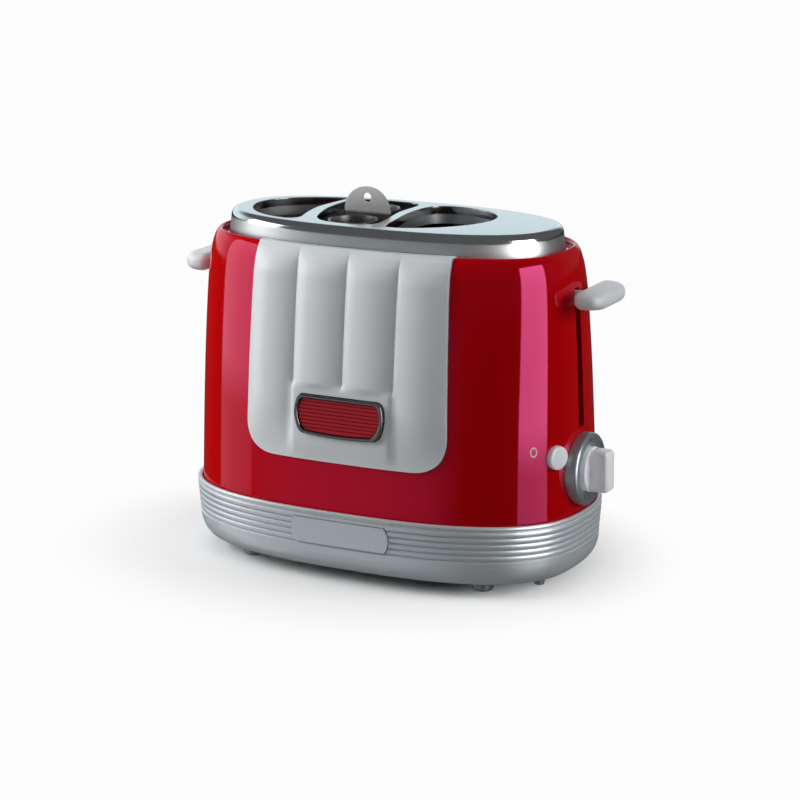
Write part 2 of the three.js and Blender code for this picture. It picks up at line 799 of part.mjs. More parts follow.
// A closed slab between two grids of points that face each other
function sheetSolid(face, back, columns, rows) {
  const stride = columns + 1;
  const offset = face.length;
  const index = [];
  for (let r = 0; r < rows; r += 1) {
    for (let c = 0; c < columns; c += 1) {
      const p = r * stride + c;
      index.push(p, p + 1, p + stride + 1, p, p + stride + 1, p + stride);
      const q = p + offset;
      index.push(q, q + stride + 1, q + 1, q, q + stride, q + stride + 1);
    }
  }
  const wall = (p, q) => index.push(p, p + offset, q + offset, p, q + offset, q);
  for (let c = 0; c < columns; c += 1) {
    wall(c, c + 1);
    wall(rows * stride + c + 1, rows * stride + c);
  }
  for (let r = 0; r < rows; r += 1) {
    wall((r + 1) * stride, r * stride);
    wall(r * stride + columns, (r + 1) * stride + columns);
  }
  const geometry = new THREE.BufferGeometry();
  geometry.setAttribute('position', new THREE.Float32BufferAttribute([...face, ...back].flat(), 3));
  geometry.setIndex(index);
  return solid(geometry);
}

// Points up the badge's right end, which bows out between its two corners
function badgeEnd(inset) {
  const bow = new THREE.QuadraticBezierCurve(
    new THREE.Vector2(badgeBottomHalf - inset, inset - badgeHalfTall),
    new THREE.Vector2(2 * badgeMidHalf - (badgeTopHalf + badgeBottomHalf) / 2 - inset, 0),
    new THREE.Vector2(badgeTopHalf - inset, badgeHalfTall - inset));
  return badgeBowShares.map((share) => bow.getPoint(share));
}

// Badge outline in X and Z, shrunk by an inset, with soft corners and a sagging lower edge
function badgeShape(inset) {
  const top = badgeTopHalf - inset;
  const bottom = badgeBottomHalf - inset;
  const tall = badgeHalfTall - inset;
  const soft = badgeCorner - inset / 2;
  const end = badgeEnd(inset);
  const [low, high] = [end[0], end[end.length - 1]];
  const shape = new THREE.Shape();
  shape.moveTo(-bottom + soft, -tall);
  shape.quadraticCurveTo(0, -tall - 2 * badgeSag, bottom - soft, -tall);
  shape.quadraticCurveTo(bottom, -tall, low.x, low.y);
  end.slice(1).forEach(({ x, y }) => shape.lineTo(x, y));
  shape.quadraticCurveTo(top, tall, top - soft, tall);
  shape.lineTo(-top + soft, tall);
  shape.quadraticCurveTo(-top, tall, -high.x, high.y);
  end.reverse().slice(1).forEach(({ x, y }) => shape.lineTo(-x, y));
  shape.quadraticCurveTo(-bottom, -tall, -bottom + soft, -tall);
  return shape;
}

// A badge-shaped block between two distances in front of the badge's seat
function badgeBlock(inset, back, front) {
  const geometry = new THREE.ExtrudeGeometry(badgeShape(inset), {
    depth: front - back, bevelEnabled: false, curveSegments: badgeCornerSteps });
  geometry.rotateX(Math.PI / 2);
  const lean = badgeLean();
  geometry.translate(0, -back, 0);
  geometry.rotateX(-lean);
  geometry.translate(0, -badgeSeat(), badgeHeight);
  return solid(geometry);
}

// The front face leans back by this angle at the badge
function badgeLean() {
  const rise = 2 * badgeHalfTall;
  const low = frontDepth(0, badgeHeight - badgeHalfTall);
  const high = frontDepth(0, badgeHeight + badgeHalfTall);
  return Math.atan2(low - high, rise);
}

// Distance of the badge's back plane from the middle
function badgeSeat() {
  return frontDepth(0, badgeHeight) + panelBase + badgeBossHeight;
}

function badgeFrame() {
  const outer = badgeBlock(0, -badgeBack, badgeProud);
  const hole = badgeBlock(badgeBorder, -badgeBack - overcut, badgeProud + overcut);
  return outer.subtract(hole);
}

function badgePlate() {
  let plate = badgeBlock(badgeBorder + seatGap, -badgeBack, badgePlateProud);
  const tall = 2 * (badgeHalfTall - badgeBorder);
  const pitch = tall / badgeRibs;
  for (let i = 0; i < badgeRibs; i += 1) {
    const z = badgeHeight - tall / 2 + pitch * (i + 0.5);
    const y = badgeSeat() + badgePlateProud - badgeRibProud - (z - badgeHeight) * Math.tan(badgeLean());
    const groove = box(-badgeMidHalf, badgeMidHalf, -y - overcut, -y, z - pitch / 5, z + pitch / 5);
    plate = plate.subtract(groove);
  }
  return plate;
}

// Outline of one opening in the cover's flat
function coverOpening(shares) {
  return smoothLoop(shares.map(([x, y]) => [x * flatHalfLength, y * flatHalfDepth]), openingSteps);
}

// Steel cover: a shallow pan turned over, with a collar pressed down round each opening
function topCover() {
  const outer = coverLevels.map(([z, a, b]) => planRing(a, b, z, coverPower, coverSteps));
  const last = coverLevels.length - 1;
  const inner = [0, last / 2, last].map((i) => Math.floor(i)).map((i) => {
    const [z, a, b] = coverLevels[i];
    const drop = i === 0 ? overcut : coverSheet;
    return planRing(a - coverSheet, b - coverSheet, z - drop, coverPower, coverSteps);
  });
  let cover = loft(outer, false).subtract(loft(inner, false));
  const outlines = [leftOpeningShares, centreOpeningShares, rightOpeningShares].map(coverOpening);
  outlines.forEach((outline) => {
    cover = cover.add(prism(grown(outline, coverSheet), collarBottom, coverTop - coverSheet / 2));
  });
  outlines.forEach((outline) => {
    cover = cover.subtract(prism(outline, collarBottom - overcut, coverTop + overcut));
  });
  return cover;
}

// Lever paddle for the right end, with a neck from its carriage block; the left one is mirrored
function paddle(neckStart) {
  const half = paddleHalfWidth - paddleRound;
  const near = paddleInner + paddleRound;
  const far = paddleOuter - paddleRound;
  const corner = paddleCorner - paddleRound;
  const shape = new THREE.Shape();
  shape.moveTo(near, -half);
  shape.lineTo(far - corner, -half);
  shape.quadraticCurveTo(far, -half, far, -half + corner);
  shape.lineTo(far, half - corner);
  shape.quadraticCurveTo(far, half, far - corner, half);
  shape.lineTo(near, half);
  shape.closePath();
  const geometry = new THREE.ExtrudeGeometry(shape, {
    depth: paddleThickness - 2 * paddleRound,
    bevelEnabled: true,
    bevelSize: paddleRound,
    bevelThickness: paddleRound,
    bevelSegments: paddleRoundSteps,
    curveSegments: paddleCornerSteps,
  });
  geometry.translate(0, paddleShift, leverLevel + paddleRise - paddleThickness / 2 + paddleRound);
  const neck = box(
    neckStart + seatGap, near, -neckHalfWidth, neckHalfWidth,
    leverLevel - neckHalfHeight, leverLevel + neckHalfHeight);
  return solid(geometry).add(neck);
}

// Carriage block on its guide rod, with the arm that reaches the lift frame
function carriageBlock(rodX, frameEnd) {
  const inward = Math.sign(frameEnd - rodX);
  const x0 = rodX - blockLength / 2;
  const x1 = rodX + blockLength / 2;
  const low = frameBottom;
  let block = box(x0, x1, -blockHalfWidth, blockHalfWidth, low, low + blockHeight);
  const armEnd = frameEnd - inward * seatGap;
  const arm = box(
    Math.min(rodX, armEnd), Math.max(rodX, armEnd), -armHalfWidth, armHalfWidth, low, low + frameHeight);
  block = block.add(arm);
  if (inward < 0) {
    block = block.add(box(
      x0, x1, -blockHalfWidth - armatureReach, -blockHalfWidth + rootOverlap, low, low + armatureThickness));
  }
  return block.subtract(post(rodX, 0, low - overcut, low + blockHeight + overcut, rodHoleRadius, shaftSides));
}

function liftFrame() {
  const ring = (inset) => planRing(
    frameHalfLength - inset, frameHalfDepth - inset, 0, planPower, planSteps, frameCentre);
  const outer = prism(ring(0), frameBottom, frameBottom + frameHeight);
  return outer.subtract(prism(ring(frameSheet), frameBottom - overcut, frameBottom + frameHeight + overcut));
}

// Inner half depth of the lift frame at a strap, with a seat gap
function strapReach(x) {
  const edges = [x - strapWidth / 2, x + strapWidth / 2].map((edge) => {
    const share = Math.abs(edge - frameCentre) / (frameHalfLength - frameSheet);
    return (frameHalfDepth - frameSheet) * (1 - share ** planPower) ** (1 / planPower);
  });
  return Math.min(...edges) - 2 * seatGap;
}

// U-shaped hanger with a slotted pad that carries the food
function rack(x, padHalfX, padHalfY) {
  const reach = strapReach(x);
  const top = frameBottom + frameHeight;
  const x0 = x - strapWidth / 2;
  const x1 = x + strapWidth / 2;
  const outer = box(x0, x1, -reach, reach, rackFloor, top);
  const inner = box(
    x0 - overcut, x1 + overcut, -reach + rackSheet, reach - rackSheet,
    rackFloor + rackSheet, top + overcut);
  let body = outer.subtract(inner);
  body = body.add(box(
    x - padHalfX, x + padHalfX, -padHalfY, padHalfY, rackFloor, rackFloor + rackSheet));
  const pitch = (2 * padHalfX) / padSlots;
  const slotHalfX = (pitch * padSlotShare) / 2;
  for (let i = 0; i < padSlots; i += 1) {
    const centre = x - padHalfX + pitch * (i + 0.5);
    for (const side of [-1, 1]) {
      const near = side * (padHalfY * (1 - padLengthShare));
      const far = side * padHalfY * padLengthShare;
      body = body.subtract(box(
        centre - slotHalfX, centre + slotHalfX, Math.min(near, far), Math.max(near, far),
        rackFloor - overcut, rackFloor + rackSheet + overcut));
    }
  }
  return body;
}

// Lift-out cage: a top plate with two collars and a finger tab, rods, and a cup under each tube
function sausageCage() {
  const outline = grown(coverOpening(centreOpeningShares), -cageEdgeGap);
  const plateLow = cagePlateTop - cageSheet;
  let cage = prism(outline, plateLow, cagePlateTop);
  cageHoles.forEach(([x, y]) => {
    cage = cage.add(post(x, y, plateLow, cageCollarTop, cageCollarOuter, cageSides));
  });
  const bottom = rackFloor + rackSheet + seatGap;
  cageHoles.forEach(([x, y]) => {
    cage = cage.add(post(x, y, bottom, bottom + cageCupHeight, cageCollarOuter, cageSides));
    cage = cage.subtract(post(x, y, bottom + cageSheet, cageCollarTop + overcut, cageHoleRadius, cageSides));
    cage = cage.subtract(post(x, y, bottom - overcut, bottom + overcut, cageHoleRadius / 2, smallSides));
    for (let i = 0; i < cageRodsPerTube; i += 1) {
      const angle = ((i + 0.5) * 2 * Math.PI) / cageRodsPerTube;
      const reach = (cageHoleRadius + cageCollarOuter) / 2;
      cage = cage.add(post(
        x + reach * Math.cos(angle), y + reach * Math.sin(angle),
        bottom + cageSheet / 2, cagePlateTop - cageSheet / 2, cageRodRadius, rodSides));
    }
  });
  return cage.add(cageTab());
}

// Half-round upright tab with a round hole
function cageTab() {
  const shape = new THREE.Shape();
  const foot = cagePlateTop - cageSheet / 2;
  shape.moveTo(-tabHalfWidth, foot);
  shape.lineTo(tabHalfWidth, foot);
  shape.lineTo(tabHalfWidth, tabBase);
  shape.absarc(0, tabBase, tabHalfWidth, 0, Math.PI, false);
  const hole = new THREE.Path();
  hole.absarc(0, tabBase + tabHoleHeight, tabHoleRadius, 0, 2 * Math.PI, true);
  shape.holes.push(hole);
  const geometry = new THREE.ExtrudeGeometry(shape, {
    depth: tabSheet, bevelEnabled: false, curveSegments: tabSteps });
  geometry.rotateX(Math.PI / 2);
  geometry.translate(tabX, tabY + tabSheet / 2, 0);
  return solid(geometry);
}

// Sheet floor of the chassis with the crumb holes
function chassisFloor() {
  let sheet = prism(planRing(floorHalfLength, floorHalfDepth, 0), floorTop - floorSheet, floorTop);
  crumbHoleShares.forEach(([start, end]) => {
    const x0 = floorHalfLength * start;
    const x1 = floorHalfLength * end;
    sheet = sheet.subtract(box(x0, x1, -crumbHoleHalf, crumbHoleHalf, 0, floorTop + overcut));
  });
  bossXs.forEach((x) => [-bossY, bossY].forEach((y) => {
    sheet = sheet.subtract(post(x, y, 0, floorTop + overcut, screwHoleRadius, smallSides));
  }));
  return sheet;
}

// Upright end plate with the carriage slot and a bent tab that holds the guide rod
function endPlate(x, half, rodX) {
  const outward = Math.sign(rodX - x);
  let plate = box(x, x + plateSheet, -half, half, floorTop + seatGap, plateTop);
  const slotLow = frameBottom - leverTravel - slotEndRoom;
  plate = plate.subtract(box(
    x - overcut, x + plateSheet + overcut, -plateSlotHalf, plateSlotHalf,
    slotLow, frameBottom + frameHeight + slotEndRoom));
  const tabEnd = rodX + outward * tabHalf;
  plate = plate.add(box(
    Math.min(x, tabEnd), Math.max(x + plateSheet, tabEnd), -tabHalf, tabHalf,
    plateTop - plateSheet, plateTop));
  const hole = post(rodX, 0, plateTop - overcut, plateTop + overcut, rodRadius + seatGap, shaftSides);
  return plate.subtract(hole);
}

// Rail that holds the tops of the heater cards
function cardRail(side) {
  const y0 = side * railInner;
  const y1 = side * (railInner + railSheet);
  return box(
    leftCardX - railRun, rightPlateX + plateSheet, Math.min(y0, y1), Math.max(y0, y1),
    railBottom, railBottom + railHeight);
}

function reflector(side) {
  const y0 = side * reflectorY;
  const y1 = side * (reflectorY + reflectorSheet);
  return box(
    leftCardX - reflectorRun, rightPlateX - reflectorRightGap, Math.min(y0, y1), Math.max(y0, y1),
    floorTop + seatGap, reflectorTop);
}

function heaterCard(x) {
  return box(x - cardSheet / 2, x + cardSheet / 2, -cardHalf, cardHalf, floorTop + seatGap, cardTop);
}

// Resistance ribbon wound round a card as one unbroken square tube
function heaterWinding(x) {
  const reachX = cardSheet / 2 + seatGap + ribbonHalf;
  const reachY = cardHalf + seatGap + ribbonHalf;
  const corners = [[-1, -1], [1, -1], [1, 1], [-1, 1]];
  const points = [];
  const count = windingTurns * corners.length;
  for (let i = 0; i <= count; i += 1) {
    const [sx, sy] = corners[i % corners.length];
    const z = windingLow + ((windingHigh - windingLow) * i) / count;
    points.push([x + sx * reachX, sy * reachY, z]);
  }
  const rings = points.map(([px, py, z], i) => {
    const [sx, sy] = corners[i % corners.length];
    const out = ribbonHalf;
    return [
      [px + sx * out, py + sy * out, z - out],
      [px + sx * out, py + sy * out, z + out],
      [px - sx * out, py - sy * out, z + out],
      [px - sx * out, py - sy * out, z - out],
    ];
  });
  const tube = loft(rings, false);
  return tube.volume() > 0 ? tube : loft(rings.reverse(), false);
}

// Wire guard that keeps food off a heater card
function wireGuard(x) {
  const low = floorTop + seatGap;
  const x0 = x - guardWire / 2;
  let guard = box(x0, x0 + guardWire, -guardHalf, guardHalf, low, plateTop + guardWire);
  const pitch = (2 * guardHalf - guardWire) / (guardWires - 1);
  for (let i = 0; i < guardWires - 1; i += 1) {
    const y = -guardHalf + guardWire + pitch * i;
    const window = box(
      x0 - guardWire, x0 + 2 * guardWire, y, y + pitch - guardWire, low + guardWire, plateTop);
    guard = guard.subtract(window);
  }
  return guard;
}

function guideRod(x) {
  return post(x, 0, floorTop + seatGap, rodTop, rodRadius, guideSides);
}

// Lift spring round a guide rod, from the floor to the carriage block
function liftSpring(x) {
  const low = floorTop + seatGap + coilWire;
  const high = frameBottom - seatGap - coilWire;
  const count = coilTurns * coilStepsPerTurn;
  const rings = [];
  for (let i = 0; i <= count; i += 1) {
    const angle = (2 * Math.PI * i) / coilStepsPerTurn;
    const z = low + ((high - low) * i) / count;
    const ring = [[1, 0], [0, 1], [-1, 0], [0, -1]].map(([u, v]) => {
      const reach = coilRadius + coilWire * u;
      return [x + reach * Math.cos(angle), reach * Math.sin(angle), z + coilWire * v];
    });
    rings.push(ring);
  }
  const coil = loft(rings, false);
  return coil.volume() > 0 ? coil : loft(rings.reverse(), false);
}

// Turn a solid made along +Z so that it lies along +X at the timer
function atTimer(body) {
  return body.rotate([0, 90, 0]).translate([0, 0, timerHeight]);
}

function timerBezel() {
  const ring = turned([
    [0, throatHalfLength], [bezelRadius, throatHalfLength], [bezelRadius, bezelFace - bezelBevel],
    [bezelRadius - bezelBevel, bezelFace], [bezelHole + bezelBevel, bezelFace - bezelBevel / 2],
    [bezelHole, bezelFace - bezelBevel], [0, bezelFace - bezelBevel],
  ], dialSides);
  const hole = turned(rod(bezelHole, throatHalfLength - overcut, bezelFace + overcut), dialSides);
  return atTimer(ring.subtract(hole)).subtract(housingCore(-seatGap));
}

// Round disc with a bar grip across it
function timerKnob() {
  const disc = atTimer(turned(rod(knobDiscRadius, knobBack, knobDiscFace), dialSides));
  const shape = new THREE.Shape();
  const halfY = knobHalfThick - knobRound;
  const halfZ = knobHalfTall - knobRound;
  shape.moveTo(-halfY, -halfZ);
  shape.lineTo(halfY, -halfZ);
  shape.lineTo(halfY, halfZ);
  shape.lineTo(-halfY, halfZ);
  shape.closePath();
  const geometry = new THREE.ExtrudeGeometry(shape, {
    depth: knobEnd - knobDiscFace - knobRound,
    bevelEnabled: true,
    bevelSize: knobRound,
    bevelThickness: knobRound,
    bevelSegments: knobRoundSteps,
  });
  geometry.rotateX(Math.PI / 2);
  geometry.rotateZ(Math.PI / 2);
  geometry.translate(knobDiscFace, 0, timerHeight);
  const grip = solid(geometry);
  const inside = box(
    0, knobDiscFace - rootOverlap, -knobDiscRadius, knobDiscRadius, 0, timerHeight + knobDiscRadius);
  const bore = alongX(knobBack - overcut, shaftOuter + seatGap, shaftRadius + shaftFit, timerHeight);
  return disc.add(grip.subtract(inside)).subtract(bore);
}

function timerShaft() {
  return alongX(shaftInner, shaftOuter, shaftRadius, timerHeight, shaftSides);
}

// Clockwork behind the bezel, shaped to the housing's inner wall, with its threaded bushing
function timerUnit() {
  const back = bracketX + bracketSheet + seatGap;
  const room = housingCore(housingWall + seatGap, ledgeTop);
  const body = box(
    back, baseHalfLength, -timerHalfWidth, timerHalfWidth,
    timerHeight - timerHalfHeight, timerHeight + timerHalfHeight).intersect(room);
  const bushing = alongX(shaftInner + rootOverlap, knobBack - seatGap, bushingRadius, timerHeight);
  const boreRadius = shaftRadius + shaftFit;
  const bore = alongX(shaftInner - seatGap, knobBack + overcut, boreRadius, timerHeight, shaftSides);
  return body.add(bushing).subtract(bore);
}

function controlBracket() {
  return box(bracketX, bracketX + bracketSheet, bracketLow, bracketHigh, floorTop + seatGap, bracketTop);
}

// The button's axis is square to the housing's corner
function buttonAngle() {
  const [a, b] = housingSize(buttonHeight);
  const shareX = (buttonX / a) ** (planPower - 1) / a;
  const shareY = (buttonY() / b) ** (planPower - 1) / b;
  return -Math.atan2(shareY, shareX);
}

function buttonY() {
  const [a, b] = housingSize(buttonHeight);
  return b * (1 - (buttonX / a) ** planPower) ** (1 / planPower);
}

// Carry a solid made along +Z to the button's place and axis
function atButton(body) {
  const turn = THREE.MathUtils.radToDeg(buttonAngle());
  return body.rotate([0, 90, 0]).rotate([0, 0, turn]).translate([buttonX, -buttonY(), buttonHeight]);
}

function cancelButton() {
  const profile = [
    [0, -buttonDeep], [buttonFlangeRadius, -buttonDeep], [buttonFlangeRadius, -buttonDeep + buttonFlange],
    [buttonRadius, -buttonDeep + buttonFlange], [buttonRadius, buttonProud - buttonRound],
    [buttonRadius - buttonRound, buttonProud], [0, buttonProud + buttonRound / 2],
  ];
  return atButton(turned(profile, buttonSides));
}

function cancelSwitch() {
  const wide = box(-switchHalf, switchHalf, -switchHalf, switchHalf, -switchEnd, -switchStart);
  const limit = box(0, bracketX + bracketSheet + seatGap, -baseHalfDepth, 0, 0, coverTop);
  const clockwork = box(
    0, baseHalfLength, -timerHalfWidth - seatGap, 0, 0, coverTop);
  return atButton(wide).subtract(limit).subtract(clockwork);
}

// Electromagnet that holds the carriage down
function holdMagnet() {
  const x0 = rightPlateX + plateSheet + seatGap;
  const y1 = -blockHalfWidth - seatGap;
  const top = frameBottom - leverTravel - seatGap;
  return box(x0, x0 + magnetLength, y1 - magnetDepth, y1, top - magnetHeight, top);
}

function basePlate() {
  const low = flangeTop + seatGap;
  const high = low + basePlateSheet;
  let plate = prism(planRing(baseHalfLength - basePlateInset, baseHalfDepth - basePlateInset, 0), low, high);
  for (let i = 0; i < ventCount; i += 1) {
    const x = (i - (ventCount - 1) / 2) * ventPitch;
    plate = plate.subtract(box(
      x - ventWidth / 2, x + ventWidth / 2, -ventLength / 2, ventLength / 2, 0, high + overcut));
  }
  bossXs.forEach((x) => [-bossY, bossY].forEach((y) => {
    plate = plate.add(post(x, y, low, floorTop - floorSheet - seatGap, bossRadius, shortSides));
    plate = plate.subtract(post(x, y, 0, floorTop, screwHoleRadius, smallSides));
  }));
  return plate;
}

// Pull-out tray whose end carries on the base's curved wall, with a lip to pull it by
function crumbTray() {
  const block = box(trayLeft, trayRight, trayFront, baseHalfDepth, trayBottom, trayTop);
  const hollow = box(
    trayLeft + traySheet, trayRight - traySheet, trayFront + traySheet, baseHalfDepth,
    trayBottom + traySheet, trayTop + overcut);
  const middle = (trayLeft + trayRight) / 2;
  const pull = box(
    middle - trayPullHalf, middle + trayPullHalf, baseHalfDepth - trayTop / 2, baseHalfDepth + nameplateProud,
    trayBottom, trayBottom + trayPullThick);
  return block.intersect(baseCore(0)).subtract(hollow.intersect(baseCore(trayLipThick))).add(pull);
}

function baseScrew(x, y) {
  const under = flangeTop + seatGap;
  const seat = under - seatGap / 2;
  return post(x, y, seat - screwHeadDepth, seat, screwHeadRadius, shortSides)
    .add(post(x, y, seat - screwHeadDepth / 2, under + screwLength, screwRadius, smallSides));
}

// Assembly
const hotDogMaker = new THREE.Group();
hotDogMaker.name = 'hot_dog_maker';

function part(name, body, look, parent = hotDogMaker) {
  const mesh = new THREE.Mesh(geometryOf(body), new THREE.MeshStandardMaterial(look));
  mesh.name = name;
  parent.add(mesh);
  return mesh;
}

const baseGroup = new THREE.Group();
baseGroup.name = 'base_group';
hotDogMaker.add(baseGroup);
part('base_shell', baseShell(), silver, baseGroup);
part('name_plate', namePlate(), silver, baseGroup);
part('base_plate', basePlate(), black, baseGroup);
part('crumb_tray', crumbTray(), silver, baseGroup);
const foot = turned(footShares.map(([r, h]) => [r * footRadius, h * flangeTop]), footSides);
const cordPost = turned(postShares.map(([r, h]) => [r * postRadius, h * flangeTop]), shortSides);
[['front_left', -1, -1], ['front_right', 1, -1], ['rear_left', -1, 1], ['rear_right', 1, 1]].forEach(
  ([name, sx, sy]) => {
    part(`foot_${name}`, foot, grey, baseGroup).position.set(sx * footX, sy * footY, 0);
  });
part('cord_post_left', cordPost, grey, baseGroup).position.set(-postX, postY, 0);
part('cord_post_right', cordPost, grey, baseGroup).position.set(postX, postY, 0);
bossXs.forEach((x, i) => [-bossY, bossY].forEach((y, j) => {
  part(`base_screw_${i * 2 + j + 1}`, baseScrew(x, y), zinc, baseGroup);
}));

const housingGroup = new THREE.Group();
housingGroup.name = 'housing_group';
hotDogMaker.add(housingGroup);
part('housing_shell', housingShell(), red, housingGroup);
part('front_panel', frontPanel(), white, housingGroup);
part('badge_frame', badgeFrame(), chrome, housingGroup);
part('badge_plate', badgePlate(), red, housingGroup);
part('top_cover', topCover(), steel, housingGroup);

const chassisGroup = new THREE.Group();
chassisGroup.name = 'chassis_group';
hotDogMaker.add(chassisGroup);
part('chassis_floor', chassisFloor(), zinc, chassisGroup);
part('end_plate_left', endPlate(leftPlateX, leftPlateHalf, leftRodX), zinc, chassisGroup);
part('end_plate_right', endPlate(rightPlateX, rightPlateHalf, rightRodX), zinc, chassisGroup);
part('card_rail_front', cardRail(-1), zinc, chassisGroup);
part('card_rail_rear', cardRail(1), zinc, chassisGroup);
part('reflector_front', reflector(-1), zinc, chassisGroup);
part('reflector_rear', reflector(1), zinc, chassisGroup);
[['left', leftCardX], ['right', rightCardX]].forEach(([name, x]) => {
  part(`heater_card_${name}`, heaterCard(x), mica, chassisGroup);
  part(`heater_winding_${name}`, heaterWinding(x), wire, chassisGroup);
  part(`wire_guard_${name}_outer`, wireGuard(x + Math.sign(x) * guardOffset), steel, chassisGroup);
  part(`wire_guard_${name}_inner`, wireGuard(x - Math.sign(x) * guardOffset), steel, chassisGroup);
});
part('guide_rod_left', guideRod(leftRodX), steel, chassisGroup);
part('guide_rod_right', guideRod(rightRodX), steel, chassisGroup);
part('lift_spring_left', liftSpring(leftRodX), steel, chassisGroup);
part('lift_spring_right', liftSpring(rightRodX), steel, chassisGroup);
part('hold_magnet', holdMagnet(), black, chassisGroup);

const carriageGroup = new THREE.Group();
carriageGroup.name = 'carriage_group';
hotDogMaker.add(carriageGroup);
part('lift_frame', liftFrame(), zinc, carriageGroup);
part('carriage_left', carriageBlock(leftRodX, frameLeft), zinc, carriageGroup);
part('carriage_right', carriageBlock(rightRodX, frameRight), zinc, carriageGroup);
part('bun_rack_left', rack(leftRackX, leftPadHalfX, leftPadHalfY), steel, carriageGroup);
part('sausage_rack', rack(sausageRackX, sausagePadHalfX, sausagePadHalfY), steel, carriageGroup);
part('bun_rack_right', rack(rightRackX, rightPadHalfX, rightPadHalfY), steel, carriageGroup);
part('lever_paddle_left', paddle(-leftRodX + blockLength / 2).mirror([1, 0, 0]), white, carriageGroup);
part('lever_paddle_right', paddle(rightRodX + blockLength / 2), white, carriageGroup);
part('sausage_cage', sausageCage(), steel, carriageGroup);

const controlGroup = new THREE.Group();
controlGroup.name = 'control_group';
hotDogMaker.add(controlGroup);
part('control_bracket', controlBracket(), zinc, controlGroup);
part('timer_unit', timerUnit(), black, controlGroup);
part('timer_shaft', timerShaft(), zinc, controlGroup);
part('timer_bezel', timerBezel(), silver, controlGroup);
part('timer_knob', timerKnob(), white, controlGroup);
part('cancel_button', cancelButton(), white, controlGroup);
part('cancel_switch', cancelSwitch(), black, controlGroup);

export default hotDogMaker;
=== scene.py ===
import math

import bmesh
import bpy
from mathutils import Matrix, Vector


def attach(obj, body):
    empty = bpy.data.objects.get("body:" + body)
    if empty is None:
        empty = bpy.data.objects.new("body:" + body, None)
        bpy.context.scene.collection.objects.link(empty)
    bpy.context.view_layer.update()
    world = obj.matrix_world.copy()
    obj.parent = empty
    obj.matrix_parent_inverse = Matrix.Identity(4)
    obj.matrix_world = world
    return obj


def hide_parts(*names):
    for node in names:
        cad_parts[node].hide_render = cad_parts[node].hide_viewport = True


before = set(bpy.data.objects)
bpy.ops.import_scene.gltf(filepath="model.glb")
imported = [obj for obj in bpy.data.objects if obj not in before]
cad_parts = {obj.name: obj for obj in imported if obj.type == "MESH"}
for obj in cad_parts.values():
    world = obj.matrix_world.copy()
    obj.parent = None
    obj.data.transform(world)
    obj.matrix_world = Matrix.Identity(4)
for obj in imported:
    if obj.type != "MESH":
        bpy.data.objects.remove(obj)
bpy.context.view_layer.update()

MM = 0.001
scene = bpy.context.scene
scene.view_settings.view_transform = "Standard"

# Camera. A long lens a little above the table, turned towards the timer end. Its place and lens
# give the photograph's view.
camera_turn = math.radians(28.0)
camera_lift = math.radians(14.675)
camera_roll = math.radians(-0.505)
camera_distance = 1.8182
camera_target = Vector((3.0 * MM, 0, 110.0 * MM))
lens_length, film_width, far_limit = 118.8, 36, 50
towards = Vector((
    math.sin(camera_turn) * math.cos(camera_lift),
    -math.cos(camera_turn) * math.cos(camera_lift),
    math.sin(camera_lift)))
camera_data = bpy.data.cameras.new("camera")
camera_data.lens = lens_length
camera_data.sensor_width = film_width
camera_data.clip_end = far_limit
camera = bpy.data.objects.new("camera", camera_data)
camera.matrix_world = (
    Matrix.Translation(camera_target + towards * camera_distance)
    @ towards.to_track_quat("Z", "Y").to_matrix().to_4x4()
    @ Matrix.Rotation(camera_roll, 4, "Z"))
scene.collection.objects.link(camera)
scene.camera = camera

# Table and room. A white table whose paper fades into a plain white room away from the shadow.
# What glossy pieces mirror is a studio: pale beyond the table, grey below, dark overhead.
WHITE = 0.98
TABLE_HALF = 12
floor_mesh = bpy.data.meshes.new("table_top")
bm = bmesh.new()
bmesh.ops.create_grid(bm, x_segments=1, y_segments=1, size=TABLE_HALF)
bm.to_mesh(floor_mesh)
bm.free()
table_top = bpy.data.objects.new("table_top", floor_mesh)
table_top.visible_glossy = False
scene.collection.objects.link(table_top)


def soft_step(tree, value, low, high, start=0.0, end=1.0):
    """A node that eases from one number to another while a value goes from low to high."""
    step = tree.nodes.new("ShaderNodeMapRange")
    step.interpolation_type = "SMOOTHSTEP"
    step.inputs["From Min"].default_value = low
    step.inputs["From Max"].default_value = high
    step.inputs["To Min"].default_value = start
    step.inputs["To Max"].default_value = end
    tree.links.new(value, step.inputs["Value"])
    return step.outputs["Result"]


def blend(tree, share, first, second):
    """A node that mixes two colours, each a plain colour or another node's output."""
    mix = tree.nodes.new("ShaderNodeMix")
    mix.data_type = "RGBA"
    tree.links.new(share, mix.inputs["Factor"])
    for socket, colour in (("A", first), ("B", second)):
        if isinstance(colour, tuple):
            mix.inputs[socket].default_value = (*colour, 1)
        else:
            tree.links.new(colour, mix.inputs[socket])
    return mix.outputs["Result"]


def along(tree, vector, direction):
    """A node that measures a direction or place along a fixed direction."""
    product = tree.nodes.new("ShaderNodeVectorMath")
    product.operation = "DOT_PRODUCT"
    product.inputs[1].default_value = direction
    tree.links.new(vector, product.inputs[0])
    return product.outputs["Value"]


